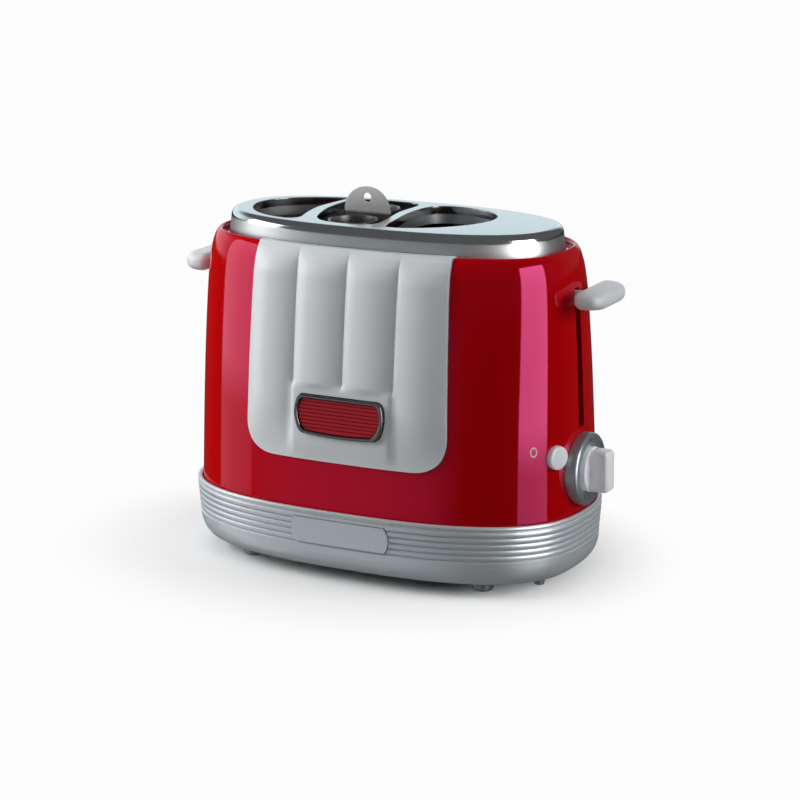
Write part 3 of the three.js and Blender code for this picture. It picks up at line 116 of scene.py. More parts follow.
# The paper takes the object's shadow near it and glows plain white from there on. The border is
# an oval, a little longer than deep, whose middle lies on the left, where the shadow falls.
paper_albedo, paper_bounce = 0.93, 0.3
oval_shares, oval_shift = (0.85, 1, 0), (0.025, 0, 0)
shadow_ends, glow_starts = 0.09, 0.20
paper = bpy.data.materials.new("table_paper")
paper.use_nodes = True
tree = paper.node_tree
paper_skin = tree.nodes["Principled BSDF"]
paper_skin.inputs["Base Color"].default_value = (paper_albedo, paper_albedo, paper_albedo, 1)
paper_skin.inputs["Roughness"].default_value = 0.8
paper_skin.inputs["Specular IOR Level"].default_value = 0.0
paper_glow = tree.nodes.new("ShaderNodeEmission")
paper_glow.inputs["Color"].default_value = (WHITE, WHITE, WHITE, 1)
paper_path = tree.nodes.new("ShaderNodeLightPath")
tree.links.new(
    soft_step(tree, paper_path.outputs["Is Diffuse Ray"], 0, 1, 1, paper_bounce),
    paper_glow.inputs["Strength"])
paper_place = tree.nodes.new("ShaderNodeTexCoord")
paper_oval = tree.nodes.new("ShaderNodeVectorMath")
paper_oval.operation = "MULTIPLY_ADD"
paper_oval.inputs[1].default_value = oval_shares
paper_oval.inputs[2].default_value = oval_shift
tree.links.new(paper_place.outputs["Object"], paper_oval.inputs[0])
paper_reach = tree.nodes.new("ShaderNodeVectorMath")
paper_reach.operation = "LENGTH"
tree.links.new(paper_oval.outputs[0], paper_reach.inputs[0])
paper_mix = tree.nodes.new("ShaderNodeMixShader")
tree.links.new(
    soft_step(tree, paper_reach.outputs["Value"], shadow_ends, glow_starts), paper_mix.inputs["Fac"])
tree.links.new(paper_skin.outputs[0], paper_mix.inputs[1])
tree.links.new(paper_glow.outputs[0], paper_mix.inputs[2])
tree.links.new(paper_mix.outputs[0], tree.nodes["Material Output"].inputs["Surface"])
floor_mesh.materials.append(paper)

world = bpy.data.worlds.new("studio_room")
scene.world = world
world.use_nodes = True
tree = world.node_tree
tree.nodes.clear()
gaze = tree.nodes.new("ShaderNodeTexCoord").outputs["Generated"]
height = along(tree, gaze, (0, 0, 1))
beyond = along(tree, gaze, (-0.469, 0.883, 0))
rightward = along(tree, gaze, (0.93, 0.37, 0))
SKY = (0.10, 0.10, 0.105)
PALE_WALL = (0.86, 1.0, 1.05)
NEAR_TABLE, FAR_TABLE, RIGHT_TABLE = (0.40, 0.43, 0.45), (0.03, 0.03, 0.03), (0.04, 0.04, 0.04)
ROOM_TINT, ROOM_STRENGTH = (0.95, 0.98, 1.0), 0.15
beyond_pale = blend(tree, soft_step(tree, beyond, 0.1, 0.6), SKY, PALE_WALL)
left_pale = blend(tree, soft_step(tree, rightward, 0.12, 0.45), beyond_pale, SKY)
above = blend(tree, soft_step(tree, height, 0.30, 0.55), left_pale, SKY)
below_front = blend(tree, soft_step(tree, rightward, -0.6, -0.2), NEAR_TABLE, RIGHT_TABLE)
below = blend(tree, soft_step(tree, beyond, -0.5, 0.1), below_front, FAR_TABLE)
mirrored = blend(tree, soft_step(tree, height, -0.04, 0.02), below, above)
light_path = tree.nodes.new("ShaderNodeLightPath")
seen = blend(tree, light_path.outputs["Is Camera Ray"], mirrored, (WHITE, WHITE, WHITE))
room_seen = tree.nodes.new("ShaderNodeBackground")
tree.links.new(seen, room_seen.inputs["Color"])
room_light = tree.nodes.new("ShaderNodeBackground")
room_light.inputs["Color"].default_value = (*ROOM_TINT, 1)
room_light.inputs["Strength"].default_value = ROOM_STRENGTH
plain_ray = light_path.outputs["Is Diffuse Ray"]
room_mix = tree.nodes.new("ShaderNodeMixShader")
room_out = tree.nodes.new("ShaderNodeOutputWorld")
tree.links.new(plain_ray, room_mix.inputs["Fac"])
tree.links.new(room_seen.outputs[0], room_mix.inputs[1])
tree.links.new(room_light.outputs[0], room_mix.inputs[2])
tree.links.new(room_mix.outputs[0], room_out.inputs["Surface"])


# Studio lamps. Three boxes, from the left, from above and from the right end, give the soft light.
# Upright cards stand left and right of the object, and the corners of the housing mirror them.
def soft_box(name, place, aim, width, height, brightness):
    """A rectangular lamp, given by its brightness, that no glossy piece mirrors."""
    lamp = bpy.data.lights.new(name, "AREA")
    lamp.shape = "RECTANGLE"
    lamp.size = width
    lamp.size_y = height
    lamp.energy = brightness * math.pi * width * height
    stand = bpy.data.objects.new(name, lamp)
    stand.location = place
    stand.rotation_euler = (Vector(place) - Vector(aim)).to_track_quat("Z", "Y").to_euler()
    stand.visible_camera = False
    stand.visible_glossy = False
    scene.collection.objects.link(stand)


CARD_BOTTOM, CARD_TOP_NEAR, CARD_TOP_FAR = -0.5, 0.46, 0.42
CARD_LOWER, CARD_UPPER, CARD_RISE = 0.85, 1.3, 0.5
FOOT_FADE, FOOT_SHARE = 0.06, 0.4
SUNK_FROM, SUNK_TO = -0.11, -0.03


def card(name, start, end, foot, brightness, deep):
    """A glowing upright card between two places on the table. It dims below its foot's height,
    and its part below the table, as bright as deep says, stands for what the table mirrors."""
    near, far = Vector((*start, 0)), Vector((*end, 0))
    bm = bmesh.new()
    corners = [
        bm.verts.new(place + Vector((0, 0, high))) for place, high in (
            (near, CARD_BOTTOM), (far, CARD_BOTTOM), (far, CARD_TOP_FAR), (near, CARD_TOP_NEAR))]
    bm.faces.new(corners)
    mesh = bpy.data.meshes.new(name)
    bm.to_mesh(mesh)
    bm.free()
    glow = bpy.data.materials.new(name)
    glow.use_nodes = True
    tree = glow.node_tree
    tree.nodes.remove(tree.nodes["Principled BSDF"])
    place = tree.nodes.new("ShaderNodeTexCoord")
    high = along(tree, place.outputs["Object"], (0, 0, 1))
    upper = soft_step(
        tree, high, foot, foot + CARD_RISE, CARD_LOWER * brightness, CARD_UPPER * brightness)
    graded = tree.nodes.new("ShaderNodeMath")
    graded.operation = "MULTIPLY"
    tree.links.new(upper, graded.inputs[0])
    tree.links.new(soft_step(tree, high, foot - FOOT_FADE, foot, FOOT_SHARE, 1), graded.inputs[1])
    emission = tree.nodes.new("ShaderNodeEmission")
    sunk = tree.nodes.new("ShaderNodeMath")
    sunk.operation = "MULTIPLY"
    tree.links.new(graded.outputs[0], sunk.inputs[0])
    tree.links.new(soft_step(tree, high, SUNK_FROM, SUNK_TO, deep, 1), sunk.inputs[1])
    tree.links.new(sunk.outputs[0], emission.inputs["Strength"])
    tree.links.new(emission.outputs[0], tree.nodes["Material Output"].inputs["Surface"])
    mesh.materials.append(glow)
    stand = bpy.data.objects.new(name, mesh)
    stand.visible_camera = False
    stand.visible_diffuse = False
    stand.visible_shadow = False
    scene.collection.objects.link(stand)


soft_box("key_box", (-1.15, -0.54, 0.68), (0, 0, 0.1), 0.9, 0.9, 7.0)
soft_box("overhead_box", (-0.2, -0.3, 1.6), (0, 0, 0.1), 1.0, 1.0, 1.8)
soft_box("end_box", (1.2, 0.30, 0.5), (0.1, 0, 0.12), 0.6, 0.6, 7.2)
card("right_card", (0.429, -0.300), (0.4925, -0.013), 0.06, 5.4, 0.25)
card("left_card", (-0.505, -0.125), (-0.390, -0.306), 0.10, 2.2, 0.9)

# Ribbed base. A deep moulded ring in satin silver paint, six fine grooves round it between
# rounded ribs, and a rolled rim that the housing stands inside.
PLAN_POWER = 2.7


def drawn_out(rings, power=PLAN_POWER, steps=240, closed=False):
    """Spin (half length, half depth, height) points round the upright axis, then draw each round
    ring out to the body's plan curve, which is flatter at its sides than an ellipse."""
    bm = bmesh.new()
    deep_of = bm.verts.layers.float.new("half_depth")
    long_of = bm.verts.layers.float.new("half_length")
    corners = []
    for long, deep, high in rings:
        corner = bm.verts.new((long, 0, high))
        corner[long_of], corner[deep_of] = long, deep
        corners.append(corner)
    pairs = list(zip(corners, corners[1:]))
    if closed:
        pairs.append((corners[-1], corners[0]))
    edges = [bm.edges.new(pair) for pair in pairs]
    bmesh.ops.spin(
        bm, geom=corners + edges, cent=(0, 0, 0), axis=(0, 0, 1), angle=2 * math.pi,
        steps=steps, use_merge=True)
    for vert in bm.verts:
        turn = math.atan2(vert.co.y, vert.co.x)
        across, back = math.cos(turn), math.sin(turn)
        vert.co.x = math.copysign(abs(across) ** (2 / power), across) * vert[long_of]
        vert.co.y = math.copysign(abs(back) ** (2 / power), back) * vert[deep_of]
    if not closed:
        open_edges = [edge for edge in bm.edges if edge.is_boundary]
        bmesh.ops.holes_fill(bm, edges=open_edges, sides=0)
    bmesh.ops.recalc_face_normals(bm, faces=bm.faces)
    return bm


def on_curve(before, start, end, after, t):
    """The point at a share of the way from start to end on a smooth curve through four points."""
    return tuple(
        0.5 * (2 * b + (c - a) * t + (2 * a - 5 * b + 4 * c - d) * t * t
               + (3 * b - a - 3 * c + d) * t ** 3)
        for a, b, c, d in zip(before, start, end, after))


def eased(points, steps):
    """A smooth open curve through points of two or three numbers each."""
    padded = [points[0], *points, points[-1]]
    curve = []
    for span in zip(padded, padded[1:], padded[2:], padded[3:]):
        curve += [on_curve(*span, step / steps) for step in range(steps)]
    return curve + [points[-1]]


def in_metres(levels):
    """The same list of points, taken from millimetres to metres."""
    return [tuple(size * MM for size in level) for level in levels]


def made(name, bm):
    """The finished mesh as an object at the origin."""
    mesh = bpy.data.meshes.new(name)
    bm.to_mesh(mesh)
    bm.free()
    piece = bpy.data.objects.new(name, mesh)
    scene.collection.objects.link(piece)
    return piece


def carve(piece, tool_bm, operation="DIFFERENCE"):
    """Cut, join or trim a piece with a tool that is then thrown away."""
    tool = made("tool", tool_bm)
    cut = piece.modifiers.new("cut", "BOOLEAN")
    cut.operation = operation
    cut.object = tool
    cut.solver = "EXACT"
    shaped = bpy.data.meshes.new_from_object(
        piece.evaluated_get(bpy.context.evaluated_depsgraph_get()))
    piece.modifiers.clear()
    spent = [piece.data, tool.data]
    piece.data = shaped
    bpy.data.objects.remove(tool)
    for mesh in spent:
        bpy.data.meshes.remove(mesh)


def dress(piece, finish, body="housing", stands_for=(), crisp=32, edge=0.0):
    """Give a piece its finish, soft edges and smooth shading, and seat it on its body."""
    piece.data.materials.clear()
    piece.data.materials.append(finish)
    piece.data.shade_smooth()
    piece.data.set_sharp_from_angle(angle=math.radians(crisp))
    if edge:
        soft = piece.modifiers.new("soft_edges", "BEVEL")
        soft.width = edge
        soft.segments = 2
        soft.limit_method = "ANGLE"
        soft.angle_limit = math.radians(crisp + 8)
        soft.harden_normals = True
    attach(piece, body)
    if stands_for:
        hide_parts(*stands_for)


def finish_of(name, colour, metallic, roughness, grain=None, bump=0.0, spread=0.0, stretch=(1, 1, 1)):
    """A finish whose roughness and surface vary finely over the piece."""
    material = bpy.data.materials.new(name)
    material.use_nodes = True
    nodes, links = material.node_tree.nodes, material.node_tree.links
    skin = nodes["Principled BSDF"]
    skin.inputs["Base Color"].default_value = (*colour, 1)
    skin.inputs["Metallic"].default_value = metallic
    skin.inputs["Roughness"].default_value = roughness
    if grain:
        place = nodes.new("ShaderNodeTexCoord")
        scale = nodes.new("ShaderNodeMapping")
        scale.inputs["Scale"].default_value = stretch
        noise = nodes.new("ShaderNodeTexNoise")
        noise.inputs["Scale"].default_value = grain
        noise.inputs["Detail"].default_value = 3
        links.new(place.outputs["Object"], scale.inputs["Vector"])
        links.new(scale.outputs["Vector"], noise.inputs["Vector"])
        if spread:
            span = nodes.new("ShaderNodeMapRange")
            span.inputs["To Min"].default_value = roughness - spread
            span.inputs["To Max"].default_value = roughness + spread
            links.new(noise.outputs["Fac"], span.inputs["Value"])
            links.new(span.outputs["Result"], skin.inputs["Roughness"])
        if bump:
            dent = nodes.new("ShaderNodeBump")
            dent.inputs["Strength"].default_value = 0.4
            dent.inputs["Distance"].default_value = bump
            links.new(noise.outputs["Fac"], dent.inputs["Height"])
            links.new(dent.outputs["Normal"], skin.inputs["Normal"])
    return material


base_long, base_deep = 145 * MM, 84.5 * MM
groove_top, groove_pitch, groove_depth, grooves = 47.5, 4.14, 1.3, 6
rib_steps, rib_roundness = 12, 0.42
rib_taper = 1.7
rim = [(3.3, 50.2), (2.9, 50.75), (2.3, 51.1), (1.6, 51.2), (0.9, 51.05), (0.4, 50.5), (0.15, 49.6)]
ribs = []
for rib in range(grooves - 1):
    for step in range(rib_steps):
        share = step / rib_steps
        swell = math.sin(math.pi * share) ** rib_roundness
        taper = rib_taper * (rib + share) / (grooves - 1)
        ribs.append((taper + groove_depth * (1 - swell), groove_top - groove_pitch * (rib + share)))
belly_top = groove_top - groove_pitch * (grooves - 1)
ribs.append((rib_taper + groove_depth, belly_top))
belly = eased([
    (1.75, belly_top - 1.1), (1.95, 23), (2.4, 20), (4.0, 15.4), (6.6, 11.6), (9.4, 9.2), (11.6, 8.15)], 5)
inside = [(13, 8), (17, 8), (17, 10), (10.5, 10), (8.6, 13), (6.6, 18), (5.5, 26), (5.5, 43.7), (3.3, 43.7)]
base_rings = [
    (base_long - inset * MM, base_deep - inset * MM, high * MM)
    for inset, high in rim + ribs + belly + inside]
base = made("ribbed_base", drawn_out(base_rings, closed=True))
silver_paint = finish_of(
    "silver_paint", (0.62, 0.66, 0.69), 0.5, 0.36, grain=900, bump=0.03 * MM, spread=0.05)

# Housing. One glossy red moulding, slightly drawn in towards the top, whose upper edge rolls
# over into a channel round the steel cover. It is pierced for the levers, the timer and the button.
housing_long, housing_deep, housing_low, housing_rise = 141.4, 80.9, 44, 182
housing_shares = [
    (1, 1, 0), (0.989, 0.963, 0.308), (0.977, 0.911, 0.582), (0.962, 0.857, 0.802),
    (0.949, 0.825, 0.901), (0.936, 0.8, 0.951), (0.921, 0.77, 0.984), (0.904, 0.743, 1)]
housing_levels = [
    (housing_long * long, housing_deep * deep, housing_low + housing_rise * up)
    for long, deep, up in housing_shares]
outside = eased(in_metres(housing_levels), 6)
lip_in = [(126.9, 59.3, 225.9), (126.2, 58.5, 225.3), (125.6, 57.9, 224), (125.4, 57.7, 222.5)]
throat = [(112, 46.5, 222.5), (112, 46.5, 219.5), (129.35, 61.8, 219.5)]
walls = [(132.9, 66.3, 190), (136.8, 74.9, 100), (138.4, 78, 44)]
housing = made("red_housing", drawn_out(outside + in_metres(lip_in + throat + walls), closed=True))


def block(low, high):
    """A box between two corners."""
    bm = bmesh.new()
    bmesh.ops.create_cube(bm, size=1)
    middle = (Vector(low) + Vector(high)) / 2
    size = Vector(high) - Vector(low)
    bmesh.ops.scale(bm, vec=size, verts=bm.verts)
    bmesh.ops.translate(bm, vec=middle, verts=bm.verts)
    return bm


def round_bar(radius, start, end, sides=48):
    """A solid cylinder between two points."""
    bm = bmesh.new()
    start, end = Vector(start), Vector(end)
    bmesh.ops.create_cone(
        bm, cap_ends=True, segments=sides, radius1=radius, radius2=radius, depth=(end - start).length)
    turn = (end - start).to_track_quat("Z", "Y").to_matrix().to_4x4()
    bmesh.ops.transform(bm, matrix=Matrix.Translation((start + end) / 2) @ turn, verts=bm.verts)
    return bm


slot_low, slot_high, slot_half = 107.5 * MM, 201.5 * MM, 3.8 * MM
wall_inner, wall_outer = 112 * MM, 150 * MM
shaft_hole, button_hole, button_reach = 5.6 * MM, 8.4 * MM, 7 * MM
for side in (-1, 1):
    ends = sorted((side * wall_inner, side * wall_outer))
    carve(housing, block((ends[0], -slot_half, slot_low), (ends[1], slot_half, slot_high)))
timer_high = 79 * MM
carve(housing, round_bar(shaft_hole, (wall_inner, 0, timer_high), (wall_outer, 0, timer_high)))
button_at = Vector((135.6, -31.16, 93.4)) * MM
button_out = Vector((0.93013, -0.36724, 0))
carve(housing, round_bar(
    button_hole, button_at - button_out * button_reach, button_at + button_out * button_reach))

red_gloss = finish_of("red_gloss", (0.46, 0.0, 0.0), 0, 0.06, grain=60, bump=0.015 * MM, spread=0.02)
red_skin = red_gloss.node_tree.nodes["Principled BSDF"]
red_skin.inputs["Specular Tint"].default_value = (1.0, 0.15, 0.46, 1)
red_skin.inputs["Specular IOR Level"].default_value = 1.0


# Name plate. A thin plate of satin metal, left bare, let into the ribs at the front of the base.
# It follows the base's curve and has bowed ends. Its bed is cut into the base with a little play.
plate_half, plate_low, plate_high, plate_bow, plate_play = 34, 27.5, 45.1, 3, 0.4
plate_back, plate_front = -60 * MM, -90 * MM
plate_bed_inset, plate_inset, plate_proud = 2.2, 1.9, 0.9


def upright_slab(outline, near, far):
    """An (x, z) outline pushed through from one depth to another, front to back."""
    bm = bmesh.new()
    face = bm.faces.new([bm.verts.new((x, near, z)) for x, z in outline])
    grown = bmesh.ops.extrude_face_region(bm, geom=[face])
    moved = [item for item in grown["geom"] if isinstance(item, bmesh.types.BMVert)]
    bmesh.ops.translate(bm, vec=(0, far - near, 0), verts=moved)
    bmesh.ops.recalc_face_normals(bm, faces=bm.faces)
    return bm


def plate_outline(grow):
    """The plate's outline, grown all round."""
    half, bow = (plate_half + grow) * MM, plate_bow * MM
    low, high = (plate_low - grow) * MM, (plate_high + grow) * MM
    middle, tall = (low + high) / 2, (high - low) / 2
    points = []
    for side in (1, -1):
        for step in range(13):
            share = side * (2 * step / 12 - 1)
            points.append((side * (half + bow * (1 - share * share)), middle + tall * share))
    return points


def base_skin(inset):
    """The base's outer surface without its grooves, as a solid."""
    levels = [
        (rib_taper + inset, 20), (rib_taper + inset, plate_low), (inset, plate_high), (inset, 50)]
    return drawn_out([(base_long - i * MM, base_deep - i * MM, z * MM) for i, z in levels])


plate_bed = made("plate_bed", upright_slab(plate_outline(plate_play), plate_back, plate_front))
carve(plate_bed, base_skin(plate_bed_inset))
bed_bm = bmesh.new()
bed_bm.from_mesh(plate_bed.data)
carve(base, bed_bm)
bpy.data.objects.remove(plate_bed)
name_plate = made("bare_name_plate", upright_slab(plate_outline(0), plate_back, plate_front))
carve(name_plate, base_skin(plate_inset))
carve(name_plate, base_skin(-plate_proud), "INTERSECT")
plate_metal = finish_of(
    "plate_metal", (0.68, 0.72, 0.75), 0.6, 0.34, grain=500, bump=0.02 * MM, spread=0.05,
    stretch=(0.05, 1, 1))
dress(name_plate, plate_metal, stands_for=["name_plate"], edge=0.35 * MM)

# Tray slot. The crumb tray's end is let into the base wall at the rear, with a little play. The
# base is finished once this last cut is made.
tray_slot_left, tray_slot_right, tray_slot_low, tray_slot_high = -94.4, 76.4, 12.6, 20.4
carve(base, block(
    (tray_slot_left * MM, 0, tray_slot_low * MM), (tray_slot_right * MM, 96 * MM, tray_slot_high * MM)))
dress(base, silver_paint, stands_for=["base_shell"])

# White front panel. One gloss moulding laid on the housing's curved front, with four swelling
# flutes that meet in sharp grooves, and a flat bed for the badge.
panel_low, panel_high = 84.5, 226.4
flute_half, panel_top_half, panel_corner = 75.5, 72.3, 24
flutes_start, flutes_full, flutes_wane, flutes_end = 86, 122, 208, 230
bed_half, bed_edge, bed_tall, bed_above, bed_below = 34, 43, 16, 22, 34
flutes, flute_depth = 4, 4.2
panel_thick, bed_rise = 1.4, 2.6
badge_high = 116.5
COVER_POWER = 2.45


def front_of(x, z):
    """Depth of the housing's front face, in millimetres."""
    for (a0, b0, z0), (a1, b1, z1) in zip(housing_levels, housing_levels[1:]):
        if z <= z1 or z1 == housing_levels[-1][2]:
            share = (z - z0) / (z1 - z0)
            a, b = a0 + (a1 - a0) * share, b0 + (b1 - b0) * share
            return b * (1 - min(1, abs(x) / a) ** PLAN_POWER) ** (1 / PLAN_POWER)


def step_up(value, low, high):
    """Eases from 0 to 1 while a value goes from low to high."""
    share = min(1, max(0, (value - low) / (high - low)))
    return share * share * (3 - 2 * share)


def panel_swell(x, z):
    """How far the panel's face stands off the housing."""
    share = ((x + flute_half) * flutes / (2 * flute_half)) % 1
    flute = flute_depth * max(0, 4 * share * (1 - share)) ** 0.8
    fade = step_up(z, flutes_start, flutes_full) * (1 - step_up(z, flutes_wane, flutes_end))
    above = z - badge_high
    reach = bed_above if above > 0 else bed_below
    bed = (1 - step_up(abs(x), bed_half, bed_edge)) * (1 - step_up(abs(above), bed_tall, reach))
    return panel_thick + flute * fade * (1 - bed) + bed_rise * bed


def panel_outline(grow, rise):
    """The panel seen from the front: straight sides and two rounded lower corners."""
    low, high = panel_low - grow, panel_high + grow + rise
    low_half, high_half = flute_half + grow, panel_top_half + grow
    points = [(-high_half, high)]
    for side in (-1, 1):
        arc = []
        for step in range(17):
            t = step / 16
            x = low_half - panel_corner * t * t
            z = low + panel_corner * (1 - t) ** 2
            arc.append((side * x, z))
        points += arc if side < 0 else arc[::-1]
    points.append((high_half, high))
    return [(x * MM, z * MM) for x, z in points]


def housing_core(inset, top):
    """The housing's outside up to a height as a full solid, moved inwards by an inset."""
    levels = [(a - inset, b - inset, z) for a, b, z in housing_levels if z <= top]
    (a0, b0, z0), (a1, b1, z1) = housing_levels[-3], housing_levels[-2]
    share = (top - z0) / (z1 - z0)
    levels.append((a0 + (a1 - a0) * share - inset, b0 + (b1 - b0) * share - inset, top))
    return drawn_out(in_metres(levels))


panel_back, slab_back, slab_front = -25 * MM, -20 * MM, -95 * MM
panel_inset, panel_foot, recess_inset, recess_foot, recess_play = 1.3, 222.8, 1.6, 222.5, 0.4
cover_room = [(123.3, 57.4, 215), (123.3, 57.4, 240)]
bm = bmesh.new()
columns, rows = 224, 112
bmesh.ops.create_grid(bm, x_segments=columns, y_segments=rows, size=1)
for vert in bm.verts:
    x = vert.co.x * flute_half
    z = panel_low + (panel_high - panel_low) * (vert.co.y + 1) / 2
    vert.co = Vector((x, -front_of(x, min(z, 226)) - panel_swell(x, z), z)) * MM
pushed = bmesh.ops.extrude_face_region(bm, geom=bm.faces[:])
for item in pushed["geom"]:
    if isinstance(item, bmesh.types.BMVert):
        item.co.y = panel_back
bmesh.ops.recalc_face_normals(bm, faces=bm.faces)
panel = made("white_panel", bm)
carve(panel, upright_slab(panel_outline(0, 0), slab_back, slab_front), "INTERSECT")
carve(panel, housing_core(panel_inset, panel_foot))
carve(panel, drawn_out(in_metres(cover_room), power=COVER_POWER))
panel_bed = made("panel_bed", upright_slab(panel_outline(recess_play, 10), slab_back, slab_front))
carve(panel_bed, housing_core(recess_inset, recess_foot))
bed_bm = bmesh.new()
bed_bm.from_mesh(panel_bed.data)
carve(housing, bed_bm)
bpy.data.objects.remove(panel_bed)
dress(housing, red_gloss, stands_for=["housing_shell"], crisp=40)
white_gloss = finish_of("white_gloss", (0.66, 0.69, 0.71), 0, 0.22, grain=50, bump=0.02 * MM, spread=0.03)

# Badge. A chrome frame round a ribbed red field, left without words. Both sit in a pocket of the
# panel's bed and lean back with it.
badge_tall, badge_back = 13.2, -2.4
frame_rise, frame_wall, field_rise, field_play = 2.6, 2.5, 1.3, 0.3
pocket_play, pocket_back, past = 0.4, -2.7, 12
field_ribs, field_tall, groove_half = 8, 20, 0.45
badge_lean = math.atan2(
    front_of(0, badge_high - badge_tall) - front_of(0, badge_high + badge_tall), 2 * badge_tall)
badge_seat = front_of(0, badge_high) + panel_thick + bed_rise


def bowed(start, pull, end, steps=8):
    """Points along a curve that leaves for a pull point and arrives from it."""
    return [tuple(
        a * (1 - t) ** 2 + 2 * b * t * (1 - t) + c * t * t for a, b, c in zip(start, pull, end))
        for t in (step / steps for step in range(steps + 1))]


def badge_outline(inset):
    """Barrel outline: wider at its middle, with soft corners and a sagging lower edge."""
    top, middle, bottom, tall, sag = 31 - inset, 33.4 - inset, 29 - inset, badge_tall - inset, 1.2
    soft = 3.5 - inset / 2
    side = bowed((bottom, -tall), (2 * middle - (top + bottom) / 2, 0), (top, tall), 20)[3:-3]
    right = [
        *bowed((0, -tall - sag), ((bottom - soft) / 2, -tall - sag), (bottom - soft, -tall)),
        *bowed((bottom - soft, -tall), (bottom, -tall), side[0], 6)[1:-1], *side,
        *bowed(side[-1], (top, tall), (top - soft, tall), 6)[1:]]
    return right + [(-x, z) for x, z in reversed(right[1:])]


def on_badge(bm):
    """Lean a piece of the badge back and bring it to the panel's bed."""
    bmesh.ops.rotate(bm, cent=(0, 0, 0), matrix=Matrix.Rotation(-badge_lean, 3, "X"), verts=bm.verts)
    bmesh.ops.translate(bm, vec=(0, -badge_seat * MM, badge_high * MM), verts=bm.verts)
    return bm


def badge_slab(inset, back, front):
    """The badge's outline moved inwards, from a depth behind the bed to one before it."""
    return on_badge(upright_slab(in_metres(badge_outline(inset)), -back * MM, -front * MM))


carve(panel, badge_slab(-pocket_play, pocket_back, past))
dress(panel, white_gloss, stands_for=["front_panel"], crisp=40, edge=0.5 * MM)
badge_frame = made("badge_frame_chrome", badge_slab(0, badge_back, frame_rise))
carve(badge_frame, badge_slab(frame_wall, -past, past))
chrome = finish_of("dark_chrome", (0.20, 0.19, 0.20), 1, 0.16, grain=300, spread=0.04)
dress(badge_frame, chrome, stands_for=["badge_frame"], edge=0.9 * MM)
badge_field = made("badge_field_red", badge_slab(frame_wall + field_play, badge_back, field_rise))
for rib in range(field_ribs):
    up = -field_tall / 2 + field_tall * (rib + 0.5) / field_ribs
    carve(badge_field, on_badge(block(
        (-40 * MM, -2 * MM, (up - groove_half) * MM), (40 * MM, -0.3 * MM, (up + groove_half) * MM))))
badge_red = finish_of("badge_red", (0.40, 0.0, 0.01), 0, 0.25, grain=200, spread=0.05)
dress(badge_field, badge_red, stands_for=["badge_plate"], edge=0.15 * MM)

# Steel cover. A shallow brushed pan turned over, with a rolled shoulder, a satin band below it
# and three shaped openings whose edges are pressed down into short collars.
FLAT_LONG, FLAT_DEEP = 115.8, 50.6
COVER_STEPS, COVER_SHEET = 288, 1.2
opening_shares = {
    "left": [
        (-0.928, 0.02), (-0.902, 0.277), (-0.829, 0.494), (-0.708, 0.672), (-0.57, 0.791),
        (-0.505, 0.771), (-0.522, 0.435), (-0.535, 0.079), (-0.509, -0.316), (-0.471, -0.672),
        (-0.518, -0.81), (-0.656, -0.751), (-0.794, -0.553), (-0.889, -0.277)],
    "centre": [
        (-0.466, 0.158), (-0.432, -0.237), (-0.371, -0.593), (-0.268, -0.791), (-0.112, -0.83),
        (0.009, -0.751), (0.035, -0.553), (0.009, -0.158), (-0.017, 0.237), (-0.009, 0.632),
        (-0.035, 0.83), (-0.173, 0.879), (-0.363, 0.85), (-0.458, 0.672)],
    "right": [
        (0.112, -0.731), (0.181, -0.81), (0.294, -0.731), (0.432, -0.514), (0.544, -0.178),
        (0.592, 0.178), (0.561, 0.514), (0.458, 0.731), (0.294, 0.85), (0.147, 0.84),
        (0.069, 0.652), (0.052, 0.237), (0.078, -0.277)],
}


def loop_of(shares, steps=6):
    """A smooth closed curve through shares of the cover's flat, in millimetres."""
    points = [(x * FLAT_LONG, y * FLAT_DEEP) for x, y in shares]
    count = len(points)
    curve = []
    for i in range(count):
        span = [points[(i + k) % count] for k in (-1, 0, 1, 2)]
        curve += [on_curve(*span, step / steps) for step in range(steps)]
    return curve


def grown_loop(points, amount):
    """Move a closed curve along its normals: outwards, or inwards by a negative amount. Points
    that would run backwards in a tight corner are dropped, so that the curve never crosses."""
    count = len(points)
    area = sum(
        points[i][0] * points[(i + 1) % count][1] - points[(i + 1) % count][0] * points[i][1]
        for i in range(count))
    side = amount * math.copysign(1, area)
    moved = []
    for i, (x, y) in enumerate(points):
        ahead, behind = points[(i + 1) % count], points[i - 1]
        dx, dy = ahead[0] - behind[0], ahead[1] - behind[1]
        length = math.hypot(dx, dy)
        moved.append((x + side * dy / length, y - side * dx / length))

    def runs_on(i, k):
        """Whether the moved step between two points still runs the way it did."""
        (x0, y0), (x1, y1), (u0, v0), (u1, v1) = points[i], points[k], moved[i], moved[k]
        return (x1 - x0) * (u1 - u0) + (y1 - y0) * (v1 - v0) > 0

    return [moved[i] for i in range(count) if runs_on(i - 1, i) and runs_on(i, (i + 1) % count)]


def level_slab(points, low, high):
    """A plan outline in millimetres raised between two heights."""
    bm = bmesh.new()
    face = bm.faces.new([bm.verts.new((x * MM, y * MM, low * MM)) for x, y in points])
    grown = bmesh.ops.extrude_face_region(bm, geom=[face])
    moved = [item for item in grown["geom"] if isinstance(item, bmesh.types.BMVert)]
    bmesh.ops.translate(bm, vec=(0, 0, (high - low) * MM), verts=moved)
    bmesh.ops.recalc_face_normals(bm, faces=bm.faces)
    return bm


